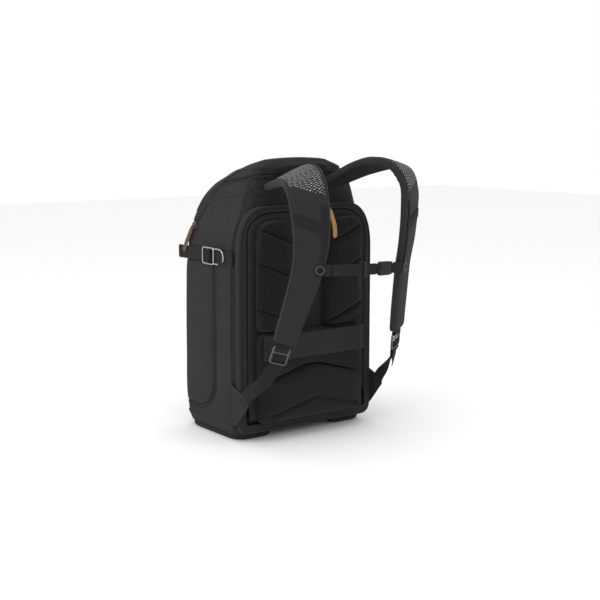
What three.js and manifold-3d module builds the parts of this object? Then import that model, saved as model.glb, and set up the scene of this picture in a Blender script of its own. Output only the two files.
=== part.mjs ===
// Camera backpack, in millimetres, with +Z up.
// The wearer's side, with the harness, faces -Y and the front pocket faces +Y.
// The origin lies on the floor, under the middle of the pack's outer box.

import * as THREE from 'three';
import { mergeVertices } from 'three/addons/utils/BufferGeometryUtils.js';
import Module from 'manifold-3d';

const wasm = await Module();
wasm.setup();

// Driving sizes of the bag
const bodyWidth = 310;
const roofHeight = 515;
const backReach = 80;
const frontReach = 106;
const rearCorner = 16;
const frontCorner = 28;
const wall = 3;
const gap = 0.35;

// Moulded feet
const footHeight = 8;
const footInside = bodyWidth * 0.255;
const footOutside = bodyWidth * 0.472;
const footBack = backReach - 2;
const footFront = frontReach * 0.815;

// Front pocket and its zip
const pocketSeam = -16;
const pocketTop = roofHeight * 0.633;
const pocketBottom = 46;
const pocketBend = 60;
const pocketZipWidth = 9;
const compartmentFront = frontReach * 0.604;
const sideLayer = 4;

// Lid and its zip
const lidRear = roofHeight * 0.957;
const lidSide = roofHeight * 0.9125;
const lidFront = roofHeight * 0.769;
const lidCorner = 66;
const lidZipWidth = 9;

// Back frame, door and zip
const frameDepth = 13;
const frameTop = roofHeight * 0.839;
const frameBottom = 14;
const frameWidth = bodyWidth - 2;
const frameCorner = 58;
const frameCornerHeight = 95;
const frameFoot = 24;
const archWidth = frameWidth - 26;
const archTop = frameTop - 7;
const archCorner = 60;
const archCornerHeight = 46;
const archBottom = 30;
const backZipWidth = 9.5;
const backZipEnd = 62;
const frameBevel = 4;

// Pads of the back
const padThickness = 25;
const padWidth = archWidth * 0.844;
const channelWidth = 62;
const channelFlare = 34;
const padTop = archTop - 17;
const padSplit = roofHeight * 0.396;
const padCorner = 46;
const channelRise = 60;
const padBevel = 6;
const grooveSize = 8;
const grooveSlope = 0.42;
const lumbarTop = 137;
const lumbarSide = 104;
const lumbarBottom = 33;
const padSeam = 3;
const peakHalf = 10;

// Luggage sleeve
const sleeveTop = padSplit - 4;
const sleeveBand = 47;
const sleeveBottom = sleeveTop - sleeveBand;
const sleeveLift = 5.2;
const sleeveHem = 7;
const clothLayer = 2;

// Shoulder straps
const strapWidth = 72;
const strapThickness = 14;
const strapRootX = 73;
const strapRootZ = roofHeight * 0.905;
const strapEndX = 130;
const strapReach = 168;
const strapDrop = 265;
const strapTwist = 30;
const strapSteps = 40;
const patchMargin = 9;
const patchThickness = 1;
const railWidth = 8;
const straps = {
  right: { rise: 42, crestTwist: 0.35 },
  left: { rise: 26, crestTwist: 0.85 },
};

// Webbing, wings and hardware
const webbing = 25;
const webbingThickness = 2;
const wingTipY = 128;
const wingTop = 110;
const wingBottom = 34;
const wingThickness = 3;
const wingSewn = 14;
const tabLength = 7;
const lockLength = 34;
const lockThickness = 4;
const lockRim = 3.6;
const tailLength = 36;
const tailBulge = 5;
const webbingSag = 4;
const chestShare = 0.775;
const chestDrop = 7;
const ringInner = 7.5;
const chestWebbing = 20;
const chestBuckleX = 28;
const chestBuckleLength = 34;
const buckleShare = 0.58;
const buckleRim = 3;
const buckleThick = 9;
const buckleArm = 4;
const keeperWidth = 6;
const keeperThick = 10;
const hookHeight = pocketTop + 13;
const hookFrameLength = 40;
const hookFrameFront = 16;
const hookRadius = 16;
const hookStraight = 18;
const hookReach = 4;
const stubReach = frontReach + 1;
const anchorRear = backReach - 3;
const railThickness = 1.6;
const wire = 3.2;

// Grab handle
const handleSpan = 108;
const handleReach = 24;
const handleHeight = roofHeight - 13;
const handleWidth = 15;
const handleThickness = 10;
const handleSteps = 24;

// Zip sliders and leather pulls
const sliderLength = 11;
const sliderThickness = 5;
const backSliderX = 49;
const lidSliderZ = lidFront - 5;
const pullSwing = 24;
const pullThickness = 2.4;
const leatherLength = 50;
const leatherWidth = 11;

// Materials
const finish = (color, roughness, metalness = 0) =>
  new THREE.MeshStandardMaterial({ color, roughness, metalness });
const finishes = {
  canvas: () => finish(0x3d3a40, 0.85),
  pad: () => finish(0x262627, 0.9),
  webbing: () => finish(0x2a292b, 0.8),
  mesh: () => finish(0x8d8a90, 0.8),
  zip: () => finish(0x1d1c1e, 0.6),
  leather: () => finish(0xb5763a, 0.6),
  metal: () => finish(0xb9b9bd, 0.3, 1),
  darkMetal: () => finish(0x4a4a4d, 0.4, 1),
  plastic: () => finish(0x1f1c1b, 0.5),
  rubber: () => finish(0x222124, 0.8),
};

const pack = new THREE.Group();

function add(name, geometry, material) {
  const mesh = new THREE.Mesh(geometry, finishes[material]());
  mesh.name = name;
  pack.add(mesh);
}

// Solids: one closed mesh with its faces out
function closedGeometry(points, triangles) {
  const geometry = new THREE.BufferGeometry();
  const places = points.flatMap((p) => [p.x, p.y, p.z]);
  geometry.setAttribute('position', new THREE.Float32BufferAttribute(places, 3));
  let volume = 0;
  for (const [a, b, c] of triangles) {
    volume += points[a].dot(points[b].clone().cross(points[c]));
  }
  const order = volume < 0 ? ([a, b, c]) => [a, c, b] : (t) => t;
  geometry.setIndex(triangles.flatMap(order));
  geometry.computeVertexNormals();
  return geometry;
}

function loft(rings) {
  const count = rings[0].length;
  const points = rings.flat();
  const triangles = [];
  for (let r = 0; r + 1 < rings.length; r += 1) {
    for (let i = 0; i < count; i += 1) {
      const a = r * count + i;
      const b = r * count + ((i + 1) % count);
      triangles.push([a, b, b + count], [a, b + count, a + count]);
    }
  }
  for (const [ring, flip] of [[0, true], [rings.length - 1, false]]) {
    const centre = new THREE.Vector3();
    rings[ring].forEach((p) => centre.addScaledVector(p, 1 / count));
    points.push(centre);
    for (let i = 0; i < count; i += 1) {
      const a = ring * count + i;
      const b = ring * count + ((i + 1) % count);
      triangles.push(flip ? [b, a, points.length - 1] : [a, b, points.length - 1]);
    }
  }
  return closedGeometry(points, triangles);
}

function toSolid(geometry) {
  const bare = geometry.clone();
  bare.deleteAttribute('normal');
  bare.deleteAttribute('uv');
  const merged = mergeVertices(bare, 1e-4);
  const mesh = new wasm.Mesh({
    numProp: 3,
    vertProperties: Float32Array.from(merged.attributes.position.array),
    triVerts: Uint32Array.from(merged.index.array),
  });
  return new wasm.Manifold(mesh);
}

function toGeometry(solid) {
  const { vertProperties, triVerts } = solid.getMesh();
  const geometry = new THREE.BufferGeometry();
  geometry.setAttribute('position', new THREE.BufferAttribute(Float32Array.from(vertProperties), 3));
  geometry.setIndex(new THREE.BufferAttribute(Uint32Array.from(triVerts), 1));
  geometry.computeVertexNormals();
  return geometry;
}

const cut = (solid, ...tools) => tools.reduce((left, tool) => left.subtract(tool), solid);
const both = (solid, ...tools) => tools.reduce((left, tool) => left.intersect(tool), solid);
const join = (solid, ...others) => others.reduce((left, other) => left.add(other), solid);

function block(x0, x1, y0, y1, z0, z1) {
  const box = new THREE.BoxGeometry(x1 - x0, y1 - y0, z1 - z0);
  box.translate((x0 + x1) / 2, (y0 + y1) / 2, (z0 + z1) / 2);
  return box;
}

// A plate drawn in x and z, from the plane y = -start towards the wearer
function plate(shape, start, thickness, bevel = 0, curveSegments = 5) {
  const geometry = new THREE.ExtrudeGeometry(shape, {
    depth: thickness - 2 * bevel,
    bevelEnabled: bevel > 0,
    bevelThickness: bevel,
    bevelSize: bevel,
    bevelOffset: -bevel,
    bevelSegments: 2,
    curveSegments,
  });
  geometry.translate(0, 0, bevel);
  const turn = new THREE.Matrix4().makeBasis(
    new THREE.Vector3(1, 0, 0), new THREE.Vector3(0, 0, 1), new THREE.Vector3(0, -1, 0));
  geometry.applyMatrix4(turn);
  geometry.translate(0, -start, 0);
  return geometry;
}

// A slab drawn in y and z, from x0 to x1
function sideSlab(shape, x0, x1, curveSegments = 6) {
  const geometry = new THREE.ExtrudeGeometry(shape, { depth: x1 - x0, bevelEnabled: false, curveSegments });
  const turn = new THREE.Matrix4().makeBasis(
    new THREE.Vector3(0, 1, 0), new THREE.Vector3(0, 0, 1), new THREE.Vector3(1, 0, 0));
  geometry.applyMatrix4(turn);
  geometry.translate(x0, 0, 0);
  return geometry;
}

const mirrored = (geometry) => {
  const copy = geometry.clone().applyMatrix4(new THREE.Matrix4().makeScale(-1, 1, 1));
  const index = copy.index ?? mergeVertices(copy).index;
  const source = copy.index ? copy : mergeVertices(copy);
  const flipped = [];
  for (let i = 0; i < index.count; i += 3) {
    flipped.push(index.getX(i), index.getX(i + 2), index.getX(i + 1));
  }
  source.setIndex(flipped);
  source.computeVertexNormals();
  return source;
};

function addPair(stem, geometry, material) {
  add(`${stem}_right`, geometry, material);
  add(`${stem}_left`, mirrored(geometry), material);
}

// Bag form: level sections from the base to the crest of the roof, as shares of the driving sizes
const bagSections = [
  { height: 0, width: 0.95, back: 0.93, front: 0.93 },
  { height: 0.015, width: 0.975, back: 0.97, front: 0.965 },
  { height: 0.05, width: 0.995, back: 1, front: 0.99 },
  { height: 0.18, width: 1, back: 1, front: 1 },
  { height: 0.42, width: 1, back: 1, front: 0.975 },
  { height: 0.62, width: 1, back: 1, front: 0.945 },
  { height: 0.7, width: 0.985, back: 1, front: 0.935 },
  { height: 0.755, width: 0.94, back: 1, front: 0.925 },
  { height: 0.8, width: 0.87, back: 1, front: 0.885 },
  { height: 0.835, width: 0.83, back: 0.99, front: 0.84 },
  { height: 0.87, width: 0.8, back: 0.97, front: 0.7 },
  { height: 0.908, width: 0.765, back: 0.945, front: 0.48 },
  { height: 0.94, width: 0.71, back: 0.92, front: 0.2 },
  { height: 0.968, width: 0.635, back: 0.885, front: -0.08 },
  { height: 0.988, width: 0.54, back: 0.83, front: -0.3 },
  { height: 1, width: 0.43, back: 0.76, front: -0.45 },
];

function corner(centreX, centreY, radius, start, steps) {
  return Array.from({ length: steps + 1 }, (_, i) => {
    const angle = (start + (90 * i) / steps) * (Math.PI / 180);
    return [centreX + radius * Math.cos(angle), centreY + radius * Math.sin(angle)];
  });
}

function bagRing(row, inset) {
  const half = (row.width * bodyWidth) / 2 - inset;
  const back = -(row.back * backReach - inset);
  const front = row.front * frontReach - inset;
  const room = Math.min(half, (front - back) / 2) * 0.9;
  const rear = Math.min(rearCorner - inset / 2, room);
  const fore = Math.min(frontCorner - inset / 2, room);
  const base = footHeight + gap + inset;
  const z = base + row.height * (roofHeight - inset - base);
  return [
    ...corner(half - fore, front - fore, fore, 0, 5),
    ...corner(-half + fore, front - fore, fore, 90, 5),
    ...corner(-half + rear, back + rear, rear, 180, 3),
    ...corner(half - rear, back + rear, rear, 270, 3),
  ].map(([x, y]) => new THREE.Vector3(x, y, z));
}

const bagForm = (inset) => toSolid(loft(bagSections.map((row) => bagRing(row, inset))));

const outerForm = bagForm(0);

// Front pocket: a layer that wraps the front and comes round onto both sides
function pocketRegion(grow) {
  const seam = pocketSeam - grow;
  const bottom = pocketBottom - grow;
  const bend = pocketBend + grow;
  const shape = new THREE.Shape();
  shape.moveTo(seam, pocketTop);
  shape.lineTo(seam, bottom + bend);
  shape.absarc(seam + bend, bottom + bend, bend, Math.PI, Math.PI * 1.5, false);
  shape.lineTo(frontReach + 20, bottom);
  shape.lineTo(frontReach + 20, pocketTop);
  return toSolid(sideSlab(shape, -bodyWidth, bodyWidth));
}

const pocketOuter = pocketRegion(pocketZipWidth / 2);
const pocketInner = pocketRegion(-pocketZipWidth / 2);
const pocketSkin = cut(outerForm, bagForm(wall));
add('front_pocket', toGeometry(both(pocketSkin, pocketRegion(-pocketZipWidth / 2 - gap))), 'canvas');
const zipSkin = cut(outerForm, bagForm(clothLayer));
add('pocket_zip', toGeometry(cut(both(zipSkin, pocketOuter), pocketInner)), 'zip');

// Lid: the roof above a zip that runs from the rear corners down to the front
function lidRegion(drop) {
  const shape = new THREE.Shape();
  shape.moveTo(-backReach - 20, roofHeight + 20);
  shape.lineTo(-backReach - 20, lidRear - drop);
  shape.lineTo(0.22 * frontReach, lidSide - drop);
  shape.lineTo(0.48 * frontReach, lidSide - 0.46 * (lidSide - lidFront) - drop);
  shape.lineTo(lidCorner, lidFront - drop);
  shape.lineTo(frontReach + 20, lidFront - drop);
  shape.lineTo(frontReach + 20, roofHeight + 20);
  return toSolid(sideSlab(shape, -bodyWidth, bodyWidth));
}

const lidSkin = cut(outerForm, bagForm(wall));
add('lid_panel', toGeometry(both(lidSkin, lidRegion(0))), 'canvas');
const lidZipRegion = cut(lidRegion(lidZipWidth), lidRegion(gap));
add('lid_zip', toGeometry(both(cut(outerForm, bagForm(clothLayer)), lidZipRegion)), 'zip');

// Body shell: the hollow bag inside the pocket, open under the lid and behind the door
const pocketSeat = pocketRegion(pocketZipWidth / 2 + gap);
const lidSeat = lidRegion(lidZipWidth + gap);
const beyond = bodyWidth;
const frontOf = (y, z0, z1) => toSolid(block(-beyond, beyond, y, beyond, z0, z1));
const compartment = cut(bagForm(sideLayer), frontOf(compartmentFront, -beyond, 2 * beyond));
const bodyForm = cut(outerForm, cut(pocketSeat, compartment), lidSeat);
const inside = cut(bagForm(sideLayer + wall), frontOf(compartmentFront - wall,
  pocketBottom - pocketZipWidth / 2 - gap - wall, pocketTop + wall));
const doorway = toSolid(block(-archWidth / 2 + 20, archWidth / 2 - 20, -backReach - 20, -backReach + 20,
  archBottom + 20, archTop - 35));
add('body_shell', toGeometry(cut(bodyForm, inside, doorway)), 'canvas');

// Feet: two moulded runners under the base
function footSection() {
  const slope = footHeight * 0.7;
  const shape = new THREE.Shape();
  shape.moveTo(footInside, 0);
  shape.lineTo(footOutside - slope, 0);
  shape.lineTo(footOutside, footHeight);
  shape.lineTo(footInside - slope, footHeight);
  return shape;
}
addPair('foot', plate(footSection(), -footFront, footBack + footFront), 'rubber');

// Arch outline of the back frame, zip and door
function archShape(half, bottom, top, cornerWidth, cornerHeight, footRadius, square) {
  const shape = new THREE.Shape();
  shape.moveTo(-half + footRadius, bottom);
  shape.lineTo(half - footRadius, bottom);
  shape.quadraticCurveTo(half, bottom, half, bottom + footRadius);
  shape.lineTo(half, top - cornerHeight);
  if (square) {
    shape.quadraticCurveTo(half, top, half - cornerWidth, top);
    shape.lineTo(-half + cornerWidth, top);
    shape.quadraticCurveTo(-half, top, -half, top - cornerHeight);
  } else {
    shape.absellipse(half - cornerWidth, top - cornerHeight, cornerWidth, cornerHeight,
      0, Math.PI / 2, false, 0);
    shape.lineTo(-half + cornerWidth, top);
    shape.absellipse(-half + cornerWidth, top - cornerHeight, cornerWidth, cornerHeight,
      Math.PI / 2, Math.PI, false, 0);
  }
  shape.lineTo(-half, bottom + footRadius);
  shape.quadraticCurveTo(-half, bottom, -half + footRadius, bottom);
  return shape;
}

const archAt = (inset) => archShape(archWidth / 2 - inset, archBottom + inset, archTop - inset,
  archCorner - inset, archCornerHeight - inset, 10, false);
const frameStart = backReach + gap;
const doorFace = backReach + frameDepth;
const frameOutline = archShape(frameWidth / 2, frameBottom, frameTop, frameCorner, frameCornerHeight,
  frameFoot, true);
const frameBlank = toSolid(plate(frameOutline, frameStart, frameDepth - gap, frameBevel));
const through = (inset) => toSolid(plate(archAt(inset), backReach - 5, frameDepth + 10));
add('back_frame', toGeometry(cut(frameBlank, through(0))), 'canvas');

const zipBand = toSolid(plate(archAt(gap), doorFace - 7, 5.5));
const belowZip = toSolid(block(-bodyWidth, bodyWidth, -2 * backReach, 0, 0, backZipEnd));
const zipCut = cut(zipBand, through(backZipWidth), belowZip);
add('back_zip', toGeometry(zipCut), 'zip');
add('back_door', plate(archAt(backZipWidth + gap), frameStart, frameDepth - gap, 1.5), 'canvas');

// Upper pads, each with three grooves that fall towards the middle
const padStart = doorFace + gap;
const padFace = padStart + padThickness - gap;
const padHalf = padWidth / 2;

function groove(x0, z0, x1, z1) {
  const length = Math.hypot(x1 - x0, z1 - z0) + grooveSize;
  const bar = new THREE.BoxGeometry(length, grooveSize, grooveSize);
  bar.rotateX(Math.PI / 4);
  bar.rotateY(-Math.atan2(z1 - z0, x1 - x0));
  bar.translate((x0 + x1) / 2, -padFace - grooveSize * 0.1, (z0 + z1) / 2);
  return toSolid(bar);
}

function upperPadShape() {
  const inner = channelWidth / 2;
  const shape = new THREE.Shape();
  shape.moveTo(inner, padSplit);
  shape.lineTo(padHalf, padSplit);
  shape.lineTo(padHalf, padTop - padCorner);
  shape.quadraticCurveTo(padHalf, padTop, padHalf - 34, padTop);
  shape.lineTo(inner + channelFlare, padTop);
  shape.quadraticCurveTo(inner + channelFlare / 2, padTop, inner + channelFlare / 2, padTop - 24);
  shape.lineTo(inner, padSplit + channelRise);
  return shape;
}

const grooveHeights = [0.93, 0.62, 0.21];
const padHeight = padTop - padSplit;
const padGrooves = grooveHeights.map((share) => {
  const z = padSplit + share * padHeight;
  return groove(padHalf, z, channelWidth / 2, z - grooveSlope * (padHalf - channelWidth / 2));
});
const upperPad = toSolid(plate(upperPadShape(), padStart, padThickness - gap, padBevel, 3));
addPair('upper_pad', toGeometry(cut(upperPad, ...padGrooves)), 'pad');

// Middle pad under the luggage sleeve, with a peaked lower edge over the lumbar pad
function peakedShape(half, sideZ, peakZ, farZ) {
  const shape = new THREE.Shape();
  shape.moveTo(-half, farZ);
  shape.lineTo(-half, sideZ);
  shape.lineTo(-peakHalf, peakZ);
  shape.quadraticCurveTo(0, peakZ + 1, peakHalf, peakZ);
  shape.lineTo(half, sideZ);
  shape.lineTo(half, farZ);
  return shape;
}
add('mid_pad', plate(peakedShape(padHalf, lumbarSide + padSeam, lumbarTop + padSeam, padSplit - padSeam),
  padStart, padThickness - gap, padBevel * 0.6, 2), 'pad');
const lumbar = toSolid(plate(peakedShape(padHalf, lumbarSide, lumbarTop, lumbarBottom),
  padStart, padThickness - gap, padBevel * 0.6, 2));
const lumbarGrooves = [-1, 1].map((side) =>
  groove(0, lumbarTop * 0.52, side * padHalf * 0.88, lumbarTop * 0.52 - 26));
add('lumbar_pad', toGeometry(cut(lumbar, ...lumbarGrooves)), 'pad');

// Luggage sleeve: a band sewn at both ends, lifted clear of the pad between them
function sleeveSection() {
  const half = padHalf - 1;
  const foot = -padFace - gap;
  const top = foot - sleeveLift;
  const shape = new THREE.Shape();
  shape.moveTo(-half, foot);
  shape.lineTo(-half + sleeveHem, foot);
  shape.lineTo(-half + sleeveHem + sleeveLift, top);
  shape.lineTo(half - sleeveHem - sleeveLift, top);
  shape.lineTo(half - sleeveHem, foot);
  shape.lineTo(half, foot);
  shape.lineTo(half, foot - clothLayer);
  shape.lineTo(half - sleeveHem - sleeveLift + clothLayer, top - clothLayer);
  shape.lineTo(-half + sleeveHem + sleeveLift - clothLayer, top - clothLayer);
  shape.lineTo(-half, foot - clothLayer);
  return shape;
}
const sleeve = new THREE.ExtrudeGeometry(sleeveSection(), { depth: sleeveBand, bevelEnabled: false });
sleeve.translate(0, 0, sleeveBottom);
add('luggage_sleeve', sleeve, 'canvas');

// Shoulder strap route, from its root on the back to the end of its pad
const strapRoute = [
  { side: -0.21, out: -0.06, rise: -0.08, fall: 0, width: 0.66, twist: 0, crest: 0 },
  { side: -0.03, out: 0.16, rise: 0.36, fall: 0, width: 0.72, twist: 0, crest: 0.4 },
  { side: 0.18, out: 0.39, rise: 0.76, fall: 0, width: 0.84, twist: 0, crest: 0.8 },
  { side: 0.41, out: 0.65, rise: 1, fall: 0, width: 0.95, twist: 0, crest: 1 },
  { side: 0.64, out: 0.86, rise: 0.78, fall: 0, width: 1, twist: 0.5, crest: 0.5 },
  { side: 0.73, out: 0.965, rise: 0.1, fall: 0, width: 0.98, twist: 1, crest: 0 },
  { side: 0.68, out: 1, rise: 0, fall: 0.135, width: 0.93, twist: 1, crest: 0 },
  { side: 0.62, out: 0.985, rise: 0, fall: 0.343, width: 0.84, twist: 1, crest: 0 },
  { side: 0.64, out: 0.915, rise: 0, fall: 0.528, width: 0.74, twist: 1, crest: 0 },
  { side: 0.81, out: 0.8, rise: 0, fall: 0.77, width: 0.64, twist: 0.9, crest: 0 },
  { side: 1, out: 0.69, rise: 0, fall: 1, width: 0.56, twist: 0.8, crest: 0 },
];

const strapPoint = (row, strap) => new THREE.Vector3(
  strapRootX + row.side * (strapEndX - strapRootX),
  -backReach - 2 - row.out * strapReach,
  strapRootZ + row.rise * strap.rise - row.fall * strapDrop);
for (const strap of Object.values(straps)) {
  strap.curve = new THREE.CatmullRomCurve3(
    strapRoute.map((row) => strapPoint(row, strap)), false, 'centripetal');
}

// Place and directions of a strap at a share of its route: across, along and out from its face
function strapFrame(strap, share) {
  const rowAt = share * (strapRoute.length - 1);
  const low = Math.min(Math.floor(rowAt), strapRoute.length - 2);
  const mix = rowAt - low;
  const blend = (key) => strapRoute[low][key] * (1 - mix) + strapRoute[low + 1][key] * mix;
  const centre = strap.curve.getPoint(share);
  const along = strap.curve.getTangent(share);
  const across = new THREE.Vector3(1, 0, 0).addScaledVector(along, -along.x).normalize();
  const out = new THREE.Vector3().crossVectors(along, across).normalize();
  const angle = (blend('twist') + blend('crest') * strap.crestTwist) * strapTwist * (Math.PI / 180);
  across.applyAxisAngle(along, -angle);
  out.applyAxisAngle(along, -angle);
  return { centre, along, across, out, width: blend('width') * strapWidth };
}

// A band along a strap between two of its steps, its section given in the strap's own width and thickness
function strapBand(strap, first, last, section) {
  const rings = Array.from({ length: last - first + 1 }, (_, i) => {
    const at = strapFrame(strap, (first + i) / strapSteps);
    return section(at).map(([u, v]) =>
      at.centre.clone().addScaledVector(at.across, u).addScaledVector(at.out, v));
  });
  return loft(rings);
}

function addStrapPair(stem, material, ...band) {
  add(`${stem}_right`, strapBand(straps.right, ...band), material);
  add(`${stem}_left`, mirrored(strapBand(straps.left, ...band)), material);
}

const padSection = ({ width }) => {
  const u = width / 2;
  const v = strapThickness / 2;
  const edge = strapThickness * 0.3;
  return [[u - edge, -v], [u, -v + edge], [u, v - edge], [u - edge, v],
    [-u + edge, v], [-u, v - edge], [-u, -v + edge], [-u + edge, -v]];
};
const bagSeat = bagForm(-gap);
const seated = (strap) => toGeometry(cut(toSolid(strapBand(strap, 0, strapSteps, padSection)), bagSeat));
add('shoulder_strap_right', seated(straps.right), 'pad');
add('shoulder_strap_left', mirrored(seated(straps.left)), 'pad');

const faceStart = strapThickness / 2 + gap;
const flatSection = (centreShare, halfWidth, thickness) => ({ width }) => {
  const u = (centreShare * width) / 2;
  const half = halfWidth(width);
  return [[u - half, faceStart + thickness], [u + half, faceStart + thickness],
    [u + half, faceStart], [u - half, faceStart]];
};
addStrapPair('strap_patch', 'mesh', 9, 19,
  flatSection(0, (width) => width / 2 - patchMargin, patchThickness));
addStrapPair('strap_rail', 'webbing', 23, 30, flatSection(-0.68, () => railWidth / 2, railThickness));

// A band through stations, each with its own directions across it and out from its face
function band(stations, width, thickness, edge = 0) {
  const x = width / 2;
  const y = thickness / 2;
  const section = edge
    ? [[x - edge, -y], [x, -y + edge], [x, y - edge], [x - edge, y],
      [-x + edge, y], [-x, y - edge], [-x, -y + edge], [-x + edge, -y]]
    : [[x, -y], [x, y], [-x, y], [-x, -y]];
  return loft(stations.map(({ at, across, out }) =>
    section.map(([u, v]) => at.clone().addScaledVector(across, u).addScaledVector(out, v))));
}

// Ladder lock at the end of the pad, held by a short tab of webbing
const lockWidth = webbing + 8;
const padEnd = strapFrame(straps.right, 1);
const lockPlace = (distance, lift = 0) => padEnd.centre.clone()
  .addScaledVector(padEnd.along, distance).addScaledVector(padEnd.out, lift);

function placed(geometry, distance, lift = 0) {
  const turn = new THREE.Matrix4().makeBasis(padEnd.across, padEnd.along,
    new THREE.Vector3().crossVectors(padEnd.across, padEnd.along));
  turn.setPosition(lockPlace(distance, lift));
  return geometry.applyMatrix4(turn);
}

// Frame of a flat buckle with bars across it, drawn in its own plane
function barFrame(width, length, thickness, rim, slots) {
  const shape = new THREE.Shape();
  const chamfer = rim * 1.4;
  const x = width / 2;
  const y = length / 2;
  shape.moveTo(-x + chamfer, -y);
  shape.lineTo(x - chamfer, -y);
  shape.lineTo(x, -y + chamfer);
  shape.lineTo(x, y - chamfer);
  shape.lineTo(x - chamfer, y);
  shape.lineTo(-x + chamfer, y);
  shape.lineTo(-x, y - chamfer);
  shape.lineTo(-x, -y + chamfer);
  const slotLength = (length - rim * (slots + 1)) / slots;
  for (let i = 0; i < slots; i += 1) {
    const start = -y + rim + i * (slotLength + rim);
    const hole = new THREE.Path();
    hole.moveTo(-x + rim * 1.2, start);
    hole.lineTo(-x + rim * 1.2, start + slotLength);
    hole.lineTo(x - rim * 1.2, start + slotLength);
    hole.lineTo(x - rim * 1.2, start);
    shape.holes.push(hole);
  }
  const geometry = new THREE.ExtrudeGeometry(shape, { depth: thickness, bevelEnabled: false });
  geometry.translate(0, 0, -thickness / 2);
  return geometry;
}
const lockCentre = tabLength + lockLength / 2;
const lock = barFrame(lockWidth, lockLength, lockThickness, lockRim, 3);
addPair('ladder_lock', placed(lock, lockCentre), 'darkMetal');
const tab = new THREE.BoxGeometry(webbing, tabLength - 2 * gap, webbingThickness * 2);
addPair('strap_tab', placed(tab, tabLength / 2), 'webbing');

// Wing: a doubled triangle of cloth in the rear seam, with its tip towards the wearer
const wingStart = bodyWidth / 2 + gap;
const wingTipZ = (wingTop + wingBottom) / 2 + 10;
function wingShape() {
  const root = -backReach + 12;
  const shape = new THREE.Shape();
  shape.moveTo(root, wingBottom);
  shape.lineTo(root, wingTop);
  shape.lineTo(-wingTipY + webbing, wingTipZ + webbing * 0.6);
  shape.lineTo(-wingTipY, wingTipZ - 2);
  shape.lineTo(-backReach - 8, wingBottom - 1);
  return shape;
}
addPair('strap_wing', sideSlab(wingShape(), wingStart, wingStart + wingThickness), 'canvas');

// Lower webbing: sewn on the outside of the wing's tip, up to the ladder lock, with its tail beside it
const lockEnd = lockPlace(tabLength + lockLength - 2);
const wingFace = wingStart + wingThickness + gap + webbingThickness / 2 + 0.3;
const wingSeat = new THREE.Vector3(wingFace, -wingTipY + wingSewn * 1.5, wingTipZ - wingSewn * 0.6);
const wingEdge = new THREE.Vector3(wingFace, -wingTipY + wingSewn * 0.8, wingTipZ + wingSewn * 0.7);
const lowerMiddle = lockEnd.clone().lerp(wingEdge, 0.5).add(new THREE.Vector3(0, -webbingSag, -webbingSag));
const lowerRoute = [lockEnd, lowerMiddle, wingEdge, wingSeat];
const lowerCurve = new THREE.CatmullRomCurve3(lowerRoute, false, 'centripetal');
function webbingStations(from, to, count, lift) {
  return Array.from({ length: count + 1 }, (_, i) => {
    const share = from + ((to - from) * i) / count;
    const at = lowerCurve.getPoint(share);
    const along = lowerCurve.getTangent(share);
    const wingAcross = new THREE.Vector3(0, -along.z, along.y).normalize();
    const across = padEnd.across.clone().lerp(wingAcross, Math.min(share * 1.5, 1));
    across.addScaledVector(along, -across.dot(along)).normalize();
    const out = new THREE.Vector3().crossVectors(across, along).normalize();
    return { at: at.addScaledVector(out, lift(i / count)), across, out };
  });
}
const lockRoom = toSolid(placed(new THREE.BoxGeometry(
  lockWidth + 2 * gap, lockLength + 2 * gap, lockThickness + 2 * gap), lockCentre));
const besideLock = (stations) =>
  toGeometry(cut(toSolid(band(stations, webbing, webbingThickness)), lockRoom));
addPair('lower_webbing', besideLock(webbingStations(0, 1, 14, () => 0)), 'webbing');
const tailLift = (share) => -webbingThickness - gap - tailBulge * Math.sin(Math.PI * share);
const tailShare = tailLength / lowerCurve.getLength();
addPair('webbing_tail', besideLock(webbingStations(0, tailShare, 6, tailLift)), 'webbing');

// Chest strap: a ring on each shoulder strap, webbing, a keeper and a side-release buckle
const chest = strapFrame(straps.right, chestShare);
const ringAt = chest.centre.clone()
  .addScaledVector(chest.across, -chest.width / 2 + ringInner)
  .addScaledVector(chest.out, faceStart + railThickness + gap + wire / 2);
const ring = new THREE.TorusGeometry(ringInner + wire / 2, wire / 2, 6, 14);
ring.rotateX(Math.PI / 2);
ring.rotateZ(Math.atan2(chest.across.y, chest.across.x));
ring.translate(ringAt.x, ringAt.y, ringAt.z);
add('sternum_ring_left', mirrored(ring), 'metal');
add('sternum_ring_right', ring.clone().translate(0, 0, -chestDrop), 'metal');

// The chest strap falls a little from the left ring to the right one
const chestFall = Math.atan2(chestDrop, 2 * ringAt.x);
const hung = (geometry) => geometry.clone().translate(ringAt.x, 0, -ringAt.z)
  .rotateY(chestFall).translate(-ringAt.x, 0, ringAt.z);

const chestY = -ringAt.y + 3;
const buckleTall = chestWebbing + 2 * buckleRim;
function chestBand(name, x0, x1, lift) {
  const y = -chestY - lift;
  add(name, hung(block(x0, x1, y - webbingThickness / 2, y + webbingThickness / 2,
    ringAt.z - chestWebbing / 2, ringAt.z + chestWebbing / 2)), 'webbing');
}

const ringBox = new THREE.Box3().setFromBufferAttribute(ring.getAttribute('position'));
const webEnd = ringBox.min.x - gap;
const foldEnd = webEnd - 12;
chestBand('sternum_web_left', -webEnd, chestBuckleX - gap, 0);
chestBand('sternum_web_right', chestBuckleX + chestBuckleLength + gap, webEnd, 0);
chestBand('sternum_fold', -foldEnd, -keeperWidth - gap, webbingThickness + gap);

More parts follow.
